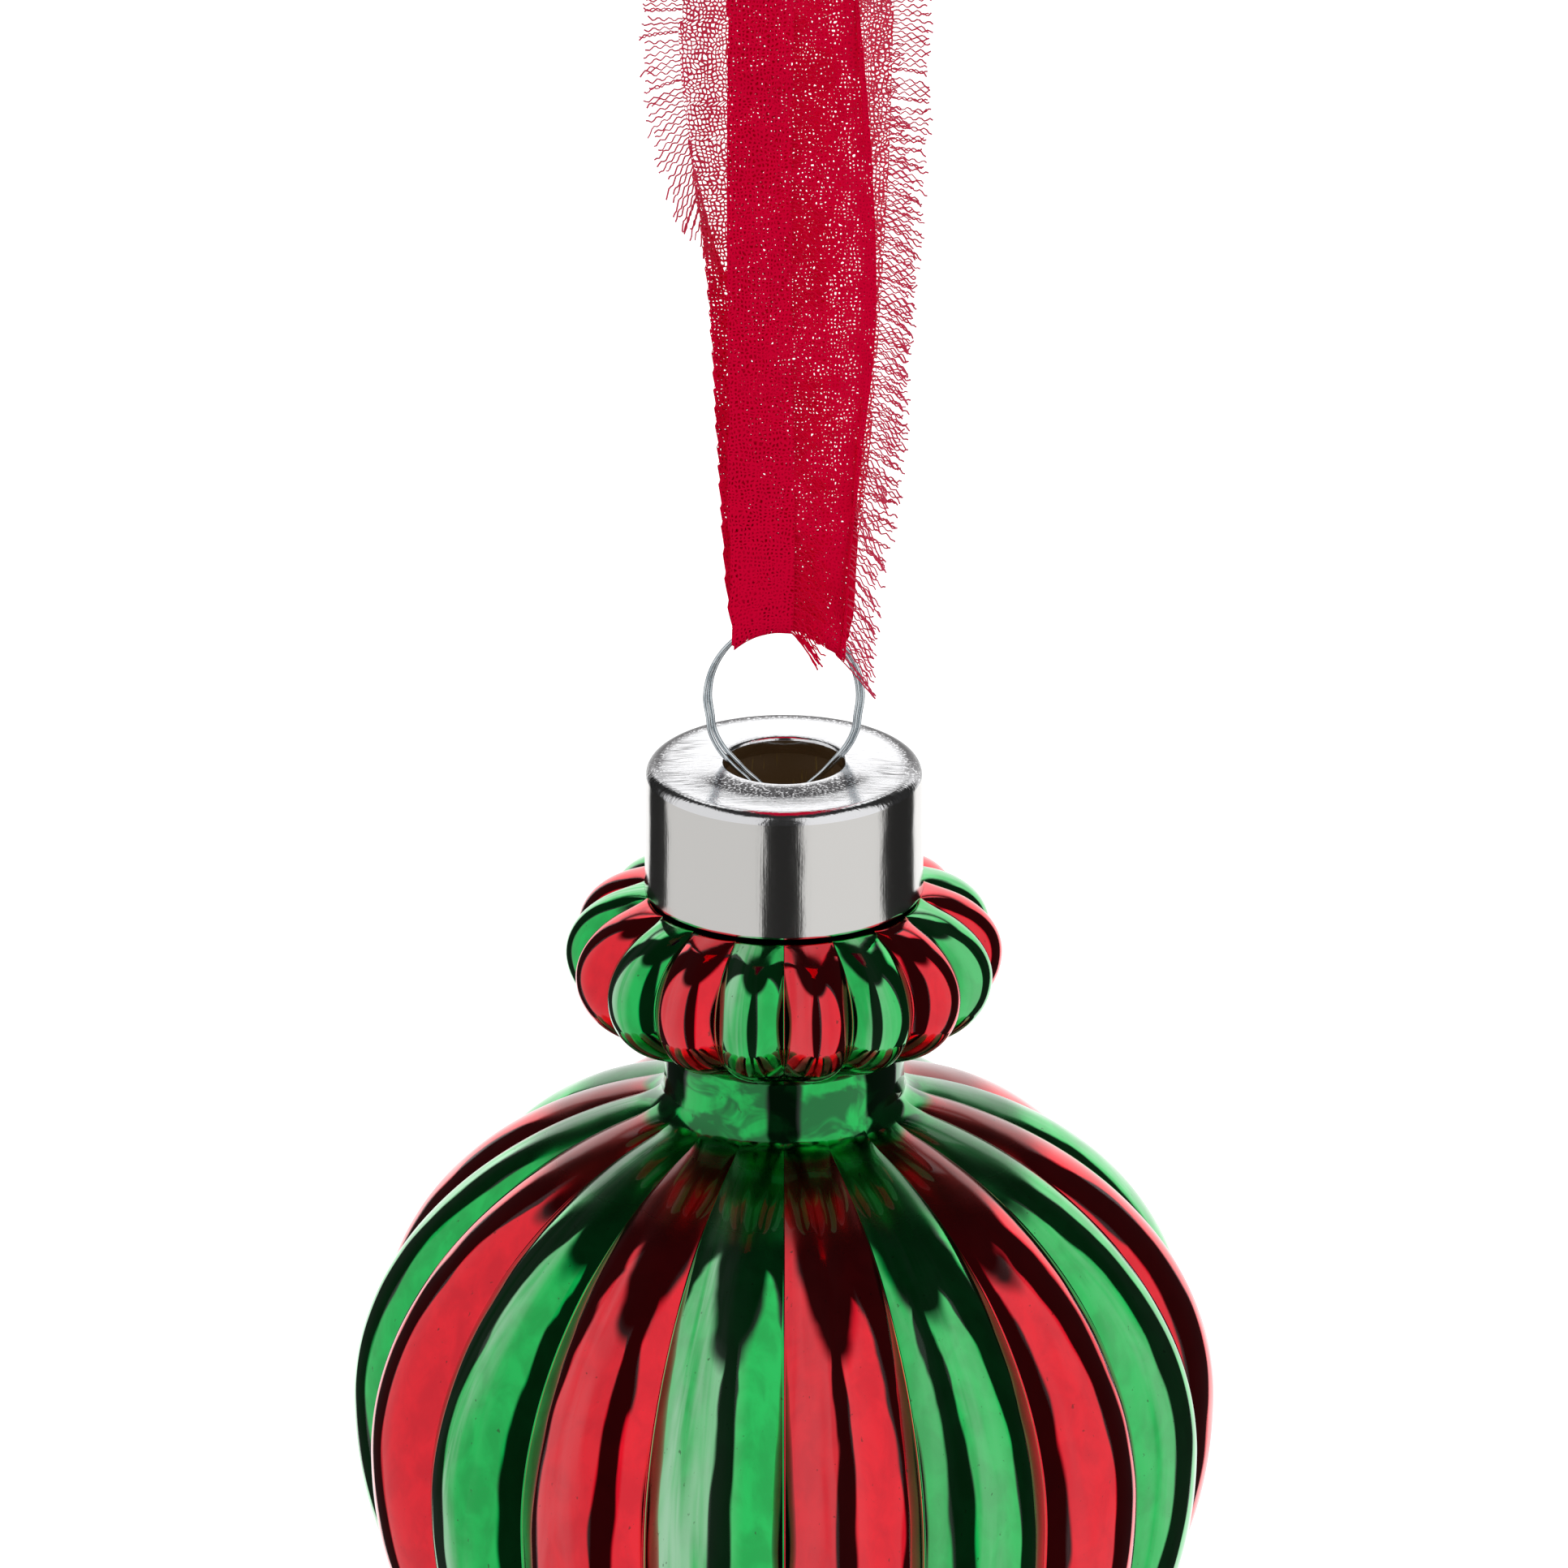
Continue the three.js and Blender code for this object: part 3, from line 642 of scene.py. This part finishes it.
def pairedStrand(side, offset, y):  # one of the two strands that run together down to the cap's rim
    line = np.array(wire["pair"])
    along = np.gradient(line, axis=0)
    along /= np.linalg.norm(along, axis=1)[:, None]
    strand = line + offset * np.stack([-along[:, 1], along[:, 0]], 1)
    return [(side * x, y, z) for x, z in strand]


def wireLeg(side):
    w = wire
    y = side * w["pitch"] * 0.75
    bore = glass["neckRadius"] - glass["wall"] - 0.3 - w["radius"]
    reach = math.sqrt(bore ** 2 - y ** 2)
    steps = [(0, -w["eyeDepth"] * 0.8), (0.2, -w["legLength"] * 0.35), (0.78, -w["legLength"] * 0.67),
             (1, -w["legLength"])]
    spread = [(side * (w["pinch"] + (reach - w["pinch"]) * share), y, z) for share, z in steps]
    return pairedStrand(side, w["apart"] / 2, y) + spread


def wireRoute():  # the wire's centre line in mm below the hanging point
    w = wire
    down = pairedStrand(1, -w["apart"] / 2, -w["pitch"] * 0.25)
    up = pairedStrand(-1, -w["apart"] / 2, w["pitch"] * 0.25)[::-1]
    controls = (wireLeg(-1)[::-1] + ringTurn(w["ring"], w["ringInner"], -w["pitch"] / 2) + down
                + [(0, 0, -w["eyeDepth"])] + up + ringTurn(w["ringInner"], w["ring"], w["pitch"] / 2) + wireLeg(1))
    return smoothRoute(controls, 8) + np.array([0, 0, capTop / mm])


def makeWire(material):
    points, faces = tubeMesh(wireRoute(), wire["radius"], wire["sides"])
    piece = newMesh("wireRing", points * mm, faces, [material])
    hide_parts("wire_hanger")
    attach(piece, "hanger")


# Drawn spring steel, galvanised: a bright core line between darker edges, faintly blue
def drawnSpringSteel(tree):
    stains = addNode(tree, "TexNoise", {**ownScale, "Detail": 3.0}, {"Vector": spacePoint(tree, (0.8, 0.8, 1.6))})
    stains = addNode(tree, "MapRange", {**eased, 1: 0.45, 2: 0.75}, {0: stains})
    base = addNode(tree, "Mix", {**colorMix, 6: "#E4ECF0", 7: "#B4BFC6"}, {0: stains})
    return addNode(tree, "BsdfPrincipled", {"Metallic": 1.0, "Roughness": 0.24}, {"Base Color": base})


makeWire(newMaterial(drawnSpringSteel))
print("wire made")


# Ribbon: one strip of crinkled open gauze with frayed edges. Its left edge is folded over in front as a flap,
# which goes round under the ring and opens out again on the back panel. Stations are shares as in the solid:
# depth, height, left and right edge, then the flap's width in mm and the share of spare cloth in the last pleat.

ribbon = {
    "width": 19.4,
    "loop": 100,
    "depth": 10,
    "knotHeight": 8,
    "knotWidth": 9.2,
    "knotDepth": 7.4,
    "tails": [
        (2, 3.12, -0.85, 0.85), (1.1, 2.44, -0.62, 0.62), (0.34, 1.62, -0.37, 0.37), (0.12, 1, -0.29, 0.29),
        (0.12, 0.45, -0.29, 0.29), (0.46, 0.02, -0.33, 0.33), (0.9, -0.5, -0.41, 0.41), (1, -1.25, -0.52, 0.54),
    ],
    "front": [
        (0.92, 0.72, -0.52, 0.57), (0.84, 0.5, -0.52, 0.77), (0.78, 0.32, -0.52, 0.84),
        (0.64, 0.17, -0.52, 0.7), (0.4, 0.07, -0.51, 0.6),
    ],
    "underRing": [(1, 0.2, -0.49, 0.57), (0, 0, -0.47, 0.54), (1, 0.2, -0.49, 0.57)],
    "back": [
        (0.4, 0.07, -0.57, 0.67), (0.64, 0.17, -0.63, 0.8), (0.78, 0.32, -0.72, 0.9),
        (0.84, 0.5, -0.92, 0.98), (0.92, 0.72, -0.91, 0.97),
    ],
    "flap": [0] * 4 + [1, 2, 3.5, 5.5] + [6.3, 6.0, 6.0, 6.2, 6.1] + [5.8, 5.5, 5.3] + [4.7, 3.5, 1.7, 0.15]
            + [0] * 9,
    "edgePleat": [0.25] * 8 + [1.0] * 5 + [0.4, 0.25, 0.4] + [0.6] * 5 + [0.25] * 8,
    "pleatPlaces": (0.2, 0.42, 0.64, 0.88),
    "layerGap": 0.24,
    "columns": 88,
    "rowStep": 0.42,
}
fold = {
    "radius": wire["ringInner"] - wire["radius"] - 0.3,
    "hug": 1.3,  # the turn under the ring, half of its depth
    "bottom": -ribbon["loop"] - 0.3,
    "lift": 0.42,  # the thin cloth lies closer to the wire than its thick solid
}
fold["rise"] = fold["radius"] + wire["stretch"]


def ribbonStations():
    r = ribbon
    depth, across = r["depth"] / 2, r["width"] / 2
    rows = [(-depth * y, r["knotHeight"] * z, a, b) for y, z, a, b in r["tails"]]
    rows += [(-depth * y, fold["bottom"] + r["loop"] * z, a, b) for y, z, a, b in r["front"]]
    rows += [(side * fold["hug"] * y, fold["bottom"] + fold["rise"] * z, a, b)
             for side, (y, z, a, b) in zip((-1, 0, 1), r["underRing"])]
    rows += [(depth * y, fold["bottom"] + r["loop"] * z, a, b) for y, z, a, b in r["back"]]
    rows += [(depth * y, r["knotHeight"] * z, a, b) for y, z, a, b in reversed(r["tails"])]
    return np.array([(y, z, across * a, across * b, flap, pleat)
                     for (y, z, a, b), flap, pleat in zip(rows, r["flap"], r["edgePleat"])])


def evenRows(stations, step):
    fine = smoothRoute(stations, 40)
    lengths = np.concatenate([[0], np.cumsum(np.linalg.norm(np.diff(fine[:, :2], axis=0), axis=1))])
    places = np.linspace(0, lengths[-1], int(lengths[-1] / step) + 1)
    return np.stack([np.interp(places, lengths, fine[:, i]) for i in range(fine.shape[1])], 1), places


def softened(values, passes):
    for _ in range(passes):
        before, after = 2 * values[:, :1] - values[:, 1:2], 2 * values[:, -1:] - values[:, -2:-1]
        padded = np.concatenate([before, values, after], 1)
        values = 0.25 * padded[:, :-2] + 0.5 * padded[:, 1:-1] + 0.25 * padded[:, 2:]
    return values


def crinkle(across, along, seed):
    rng = np.random.default_rng(seed)
    total = np.zeros(np.broadcast(across, along).shape)
    for size in (9.0, 4.0, 1.7):
        for _ in range(5):
            turn = rng.uniform(0, math.pi)
            wave = (across * math.cos(turn) + along * math.sin(turn)) * 2 * math.pi / size
            total += size * 0.02 * np.sin(wave + rng.uniform(0, 2 * math.pi))
    return total


def clothPoints(rows, places):
    r = ribbon
    s = np.linspace(0, r["width"], r["columns"] + 1)[None, :]
    y, z, left, right, flap, edgePleat = [rows[:, i:i + 1] for i in range(6)]
    flap = np.clip(flap, 0, (right - left) * 0.62)
    free = r["width"] - 2 * flap
    spare = np.clip(free - (right - left - flap), 0, None) / 2
    step = s[0, 1] - s[0, 0]
    slope = np.where(s < flap, -1.0, 1.0) * np.ones_like(y)
    depth = np.where(s < flap, -r["layerGap"], 0.0)
    others = (1 - edgePleat) / (len(r["pleatPlaces"]) - 1)
    for place in r["pleatPlaces"]:
        last = place == r["pleatPlaces"][-1]
        pleat = spare * (edgePleat if last else others)
        middle = 2 * flap + free * place
        inside = np.clip((pleat / 2 - np.abs(s - middle)) / step + 0.5, 0, 1)
        slope -= 2 * inside
        over = np.clip((s - middle) / np.maximum(pleat, 0.01) + 0.5, 0, 1)
        fade = np.clip(1 - (s - middle - pleat / 2) / 3.2, 0, 1)
        depth -= 2 * r["layerGap"] * np.clip(pleat / 0.5, 0, 1) * over * fade
    x = left + flap + np.cumsum(slope, axis=1) * step
    x = x + (right - x[:, -1:]) * np.clip((s - 2 * flap) / np.maximum(free, 0.1), 0, 1)
    x, depth = softened(x, 3), softened(depth, 4)
    under = 1 - smoothStep(z, fold["bottom"], fold["bottom"] + 9)
    depth += crinkle(s, places[:, None], 3) * (1 - 0.8 * under) * 0.8 - 0.12 * under
    along = np.gradient(rows[:, :2], axis=0)
    along /= np.linalg.norm(along, axis=1)[:, None]
    inward = np.stack([-along[:, 1:2], along[:, 0:1]], -1)
    bend = fold["rise"] * (1 - np.sqrt(np.clip(1 - (x / fold["radius"]) ** 2, 0, 1))) * 0.85
    bend *= 1 - smoothStep(z, -r["loop"], -r["loop"] * 0.91)
    push = depth + fold["lift"] * under
    return np.stack([x, y + inward[..., 0] * push, z - bend + inward[..., 1] * push], -1)


def clothDensity(rows, points):  # how much of the surface the threads cover, by place
    r = ribbon
    columns = points.shape[1]
    s = np.linspace(0, r["width"], columns)[None, :]
    y, z, flap = rows[:, 0:1], rows[:, 1:2], rows[:, 4:5]
    front = smoothStep(-y, -0.5, 0.5)
    single = np.where(s > r["width"] - 4.5, 0.72, 0.8) * np.ones_like(y)
    cover = single * (1 - front) + 0.83 * front
    folded = smoothStep(flap, 0.4, 3.6)
    leftEdge = (1 - smoothStep(s, 3.6, 5.2)) * (z < 0)
    cover = cover + (0.68 + 0.14 * folded - cover) * leftEdge
    leftBack = smoothStep(points[..., 1], -0.2, 0.2) * (1 - smoothStep(points[..., 0], -5.2, -3.8)) * folded
    cover = cover + (0.87 - cover) * leftBack
    right = rows[:, 3:4]
    edge = smoothStep(points[..., 0], right - 1.7, right - 1.2) * front * (z < -2)
    cover = cover + (1 - cover) * edge
    bunched = 1 - smoothStep(np.abs(z - r["knotHeight"] / 2), 4, 9)
    low = 1 - smoothStep(z, fold["bottom"] + 2, fold["bottom"] + 22)
    return np.clip(cover + 0.3 * bunched + 0.13 * low, 0, 1)


def makeCloth(rows, points, places, material):
    count, columns = points.shape[:2]
    faces = gridFaces(count, columns)
    piece = newMesh("ribbonCloth", points.reshape(-1, 3) * mm, faces, [material])
    across = np.tile(np.linspace(0, ribbon["width"], columns), count)
    along = np.repeat(places, columns)
    layer = piece.data.uv_layers.new(name="threads")
    corners = np.array([i for face in faces for i in face])
    layer.data.foreach_set("uv", np.stack([across[corners], along[corners]], 1).ravel())
    cover = piece.data.attributes.new("cover", "FLOAT", "POINT")
    cover.data.foreach_set("value", clothDensity(rows, points).ravel())
    return piece


def sweptWire():  # where the wire's centre line comes while the ornament swings to its limits
    centre = np.array([0, 0, capTop / mm + wire["rise"]])
    route = wireRoute() - centre
    swept = []
    for angle in np.radians(np.linspace(-wire["swing"], wire["swing"], 13)):
        x = route[:, 0] * math.cos(angle) + route[:, 2] * math.sin(angle)
        z = route[:, 2] * math.cos(angle) - route[:, 0] * math.sin(angle)
        swept.append(np.stack([x, route[:, 1], z], 1) + centre)
    return np.concatenate(swept)


# The frayed edges' threads, in mm. None of them runs through the wire.
fray = {
    "length": 3.5,
    "pitch": 0.42,
    "radius": 0.075,
    "sides": 4,
    "steps": 15,
    "gap": 0.2,  # kept free between a thread and the wire
    "ringHeight": 15,  # above the fold, where the wire can come near a thread
    "lyingFlap": 1.2,  # a flap wider than this carries its threads on the cloth
    "turningFlap": 2.2,  # a narrower one is still swinging its threads round
    "wave": 0.95,  # mm of a thread's crimps
}


def fringeThreads(rows, points, places, rng):
    f = fray
    swept = sweptWire()
    clear = wire["radius"] + f["radius"] + f["gap"]
    threads = []
    count = int(places[-1] / f["pitch"])
    for edge, inner in ((0, 4), (-1, -5)):
        lean = 0.0
        for i in range(count):
            at = (i + 0.5 + rng.uniform(-0.14, 0.14)) * f["pitch"]
            row = min(int(at / places[-1] * (len(places) - 1)), len(places) - 2)
            base = points[row, edge]
            outward = base - points[row, inner]
            outward /= np.linalg.norm(outward)
            if edge == -1 and outward[0] < 0.35:  # a folded edge still frays outwards
                outward = np.array([0.9, outward[1] * 0.5, -0.3])
            if edge == 0 and rows[row, 4] < f["turningFlap"]:
                turn = math.pi * max(rows[row, 4], 0) / f["turningFlap"]
                outward = np.array([-math.cos(turn), 0, -math.sin(turn)])
            sideways = 1 - float(smoothStep(base[2], fold["bottom"] + 0.5, fold["bottom"] + 4))
            outward = outward * (1 - sideways) + np.array([0.75, 0.2 * np.sign(base[1]), -0.5]) * sideways
            outward /= np.linalg.norm(outward)
            run = points[row + 1, edge] - points[row, edge]
            run /= max(np.linalg.norm(run), 1e-6)
            if -1.5 < base[2] < ribbon["knotHeight"] + 1 and abs(base[1]) < 2.5:
                continue  # bunched in the knot
            drop = math.radians(4 + 24 * float(smoothStep(-base[2], 40, 75)))
            lean = 0.8 * lean + rng.normal(0, 0.13)
            length = f["length"] * rng.uniform(0.82, 1.08)
            curl = rng.normal(0, 0.5)
            phase = (i % 2) * math.pi + rng.normal(0, 0.4)
            t = np.linspace(0, 1, f["steps"] + 1)[:, None]
            crimp = np.sin(t * length / f["wave"] * 2 * math.pi + phase) * 0.15 * np.minimum(t * 6, 1)
            path = base + outward * t * length * math.cos(drop)
            path = path + np.array([0, 0, -1.0]) * (t ** 1.4) * length * math.sin(drop)
            path = path + run * (crimp + lean * t ** 2 * 1.4 + curl * np.clip(t - 0.75, 0, 1) ** 2 * 6)
            path = path + np.cross(outward, run) * rng.normal(0, 0.12) * t ** 2 * 2
            nearRing = base[2] < fold["bottom"] + f["ringHeight"]
            if nearRing and np.linalg.norm(path[:, None] - swept, axis=2).min() < clear:
                continue  # the wire would pass through it, at rest or as the ornament swings
            threads.append((path, 1.0 if edge == 0 and rows[row, 4] > f["lyingFlap"] else 0.0))
    return threads


def makeFringe(rows, points, places, material):
    rng = np.random.default_rng(11)
    allPoints, allFaces, onCloth, total = [], [], [], 0
    for path, lies in fringeThreads(rows, points, places, rng):
        tube, faces = tubeMesh(path, fray["radius"], fray["sides"])
        allPoints.append(tube)
        onCloth.extend([lies] * len(tube))
        allFaces.extend([tuple(i + total for i in face) for face in faces])
        total += len(tube)
    piece = newMesh("ribbonFringe", np.concatenate(allPoints) * mm, allFaces, [material])
    mark = piece.data.attributes.new("onCloth", "FLOAT", "POINT")
    mark.data.foreach_set("value", onCloth)
    return piece


def knotSurface(rows, columns, shape):
    u = np.linspace(0, 2 * math.pi, columns, endpoint=False)
    v = np.linspace(0, 2 * math.pi, rows, endpoint=False)
    return shape(v[:, None], u[None, :])


def makeKnot(material):
    r = ribbon
    rng = np.random.default_rng(5)
    tilt = 0.35

    def wrap(v, u):  # one turn of bunched cloth lying slantwise, ridged along its run
        ridge = 1 + 0.07 * np.sin(9 * v + 0.7 * np.sin(u)) + 0.05 * np.sin(4 * v - 2 * u)
        radial = 0.42 + 0.16 * ridge * np.cos(v)
        x = r["knotWidth"] * radial * np.cos(u)
        y = r["knotDepth"] * radial * np.sin(u)
        z = 2.9 * ridge * np.sin(v) * (1 + 0.18 * np.cos(u - 0.6))
        return np.stack([x * math.cos(tilt) + z * math.sin(tilt), y, z * math.cos(tilt) - x * math.sin(tilt)], -1)

    def lump(v, u):  # the bunched middle, with folds running up from the loop to the tails
        height = np.linspace(-1, 1, v.shape[0])[:, None]
        width = np.sqrt(np.clip(1 - (np.abs(height) * 0.93) ** 3, 0.02, 1))
        ridge = 1 + 0.1 * np.sin(7 * u + 1.5 * height) + 0.05 * np.sin(13 * u)
        x = r["knotWidth"] * 0.36 * width * ridge * np.cos(u)
        y = r["knotDepth"] * 0.34 * width * ridge * np.sin(u)
        return np.stack([x, y, height * r["knotHeight"] * 0.47 + 0 * u], -1)

    turnSize, coreSize = (72, 144), (48, 96)
    turn, core = knotSurface(*turnSize, wrap), knotSurface(*coreSize, lump)
    faces = gridFaces(*turnSize, closedRows=True, closedColumns=True)
    coreRows, coreColumns = coreSize
    coreFaces = gridFaces(*coreSize, closedColumns=True)
    coreFaces += [tuple(range(coreColumns))[::-1],
                  tuple(range((coreRows - 1) * coreColumns, coreRows * coreColumns))]
    offset = turnSize[0] * turnSize[1]
    points = np.concatenate([turn.reshape(-1, 3), core.reshape(-1, 3)])
    points = points + rng.normal(0, 0.02, points.shape) + np.array([0, 0, r["knotHeight"] / 2])
    faces += [tuple(i + offset for i in face) for face in coreFaces]
    return newMesh("ribbonKnot", points * mm, faces, [material])


gauze = {
    "red": "#FF0640",
    "sunkInShade": "#C4002A",  # the lower layer seen between the threads, painted darker as shade
    # pale pink for a single layer, painted light coming through it
    "thin": "#FF4A70",
    # the knot's hollows between ridges, painted darker as shade
    "bunched": "#D4002E",
    "warpPitch": 0.36,  # mm between the threads along the ribbon
    "weftPitch": 0.4,  # mm between the threads across it
}


# Crinkled cotton gauze: uneven holes between the threads, so one layer is pale and three are nearly solid; a single
# layer is painted paler pink as light coming through it, and the layer below is painted darker between the threads
# as shade
def crinkledRedGauze(tree):
    uv = addNode(tree, "UVMap", {"uv_map": "threads"})
    wander = addNode(tree, "TexNoise", {"Scale": 0.7, "Detail": 3.0}, {"Vector": uv}).outputs["Color"]
    shift = addNode(tree, "VectorMath", {"operation": "MULTIPLY_ADD", 1: (0.9, 0.9, 0), 2: (-0.45, -0.45, 0)},
                    {0: wander})
    moved = addNode(tree, "VectorMath", {"operation": "ADD"}, {0: uv, 1: shift})
    mesh = (1 / gauze["warpPitch"], 1 / gauze["weftPitch"], 1)
    cells = addNode(tree, "VectorMath", {**times, 1: mesh}, {0: moved})
    holes = addNode(tree, "TexVoronoi", {"feature": "DISTANCE_TO_EDGE", "voronoi_dimensions": "2D", **ownScale,
                                         "Randomness": 0.6}, {"Vector": cells}).outputs["Distance"]

    # the cloth's cover, uneven in patches, sets how wide a hole opens in each cell
    woven = addNode(tree, "Attribute", {"attribute_name": "cover"}).outputs["Fac"]
    patches = addNode(tree, "VectorMath", {**times, 1: (0.6, 0.35, 1)}, {0: uv})
    patches = addNode(tree, "TexNoise", {**ownScale, "Detail": 3.0}, {"Vector": patches})
    uneven = addNode(tree, "MapRange", {1: 0.3, 2: 0.7, 3: -0.13, 4: 0.13}, {0: patches})
    cover = addNode(tree, "Math", {"operation": "ADD"}, {0: woven, 1: uneven})
    bare = addNode(tree, "Math", {"operation": "SUBTRACT", 0: 1.0, "use_clamp": True}, {1: cover})
    root = addNode(tree, "Math", {"operation": "SQRT"}, {0: bare})
    width = addNode(tree, "Math", {"operation": "MULTIPLY_ADD", 1: -0.5, 2: 0.5}, {0: root})
    gap = addNode(tree, "Math", {"operation": "SUBTRACT"}, {0: width, 1: holes})
    alpha = addNode(tree, "MapRange", {1: -0.035, 2: 0.035}, {0: gap})

    yarn = addNode(tree, "VectorMath", {**times, 1: (5, 5, 1)}, {0: uv})
    yarn = addNode(tree, "TexNoise", {**ownScale, "Detail": 2.0}, {"Vector": yarn})
    yarn = addNode(tree, "MapRange", {**eased, 1: 0.3, 2: 0.7}, {0: yarn})
    # painted shade: darker towards each cell's middle, between the threads
    sunkInShade = addNode(tree, "MapRange", {**eased, 1: 0.1, 2: 0.36}, {0: holes})
    sunkInShade = addNode(tree, "Math", times, {0: sunkInShade, 1: yarn})
    base = addNode(tree, "Mix", {**colorMix, 6: gauze["red"], 7: gauze["sunkInShade"]}, {0: sunkInShade})
    # painted backlight: paler pink where the cloth is a single thin layer
    thin = addNode(tree, "MapRange", {**eased, 1: 0.8, 2: 0.66}, {0: woven})
    base = addNode(tree, "Mix", {**colorMix, 7: gauze["thin"]}, {0: thin, 6: base})
    return addNode(tree, "BsdfPrincipled", {"Roughness": 1.0, "Specular IOR Level": 0.0},
                   {"Base Color": base, "Alpha": alpha})


# The same gauze bunched in the knot: no holes left, but its threads show as fine ridges, with painted shade
# darkening the hollows between them
def bunchedRedGauze(tree):
    ridges = addNode(tree, "TexNoise", {**ownScale, "Detail": 3.0}, {"Vector": spacePoint(tree, (0.3, 0.3, 0.9))})
    raised = addNode(tree, "MapRange", {**eased, 1: 0.35, 2: 0.65}, {0: ridges})
    base = addNode(tree, "Mix", {**colorMix, 6: gauze["bunched"], 7: gauze["red"]}, {0: raised})
    bumps = addNode(tree, "Bump", {"Distance": 0.25 * mm}, {"Height": ridges})
    return addNode(tree, "BsdfPrincipled", {"Roughness": 1.0, "Specular IOR Level": 0.0},
                   {"Base Color": base, "Normal": bumps})


# Single frayed threads: pale and pinkish against the light, and deep red where they lie on the cloth
def frayedRedThread(tree):
    onCloth = addNode(tree, "Attribute", {"attribute_name": "onCloth"}).outputs["Fac"]
    base = addNode(tree, "Mix", {**colorMix, 6: "#FF5276", 7: "#FF0A44"}, {0: onCloth})
    return addNode(tree, "BsdfPrincipled", {"Roughness": 1.0, "Specular IOR Level": 0.05}, {"Base Color": base})


def makeRibbon():
    rows, places = evenRows(ribbonStations(), ribbon["rowStep"])
    points = clothPoints(rows, places)
    cloth = makeCloth(rows, points, places, newMaterial(crinkledRedGauze))
    fringe = makeFringe(rows, points, places, newMaterial(frayedRedThread))
    knot = makeKnot(newMaterial(bunchedRedGauze))
    for piece in (cloth, fringe, knot):
        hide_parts("ribbon")
        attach(piece, "ribbon")
    print("ribbon length in mm", round(float(places[-1]), 1))


makeRibbon()
print("ribbon made")
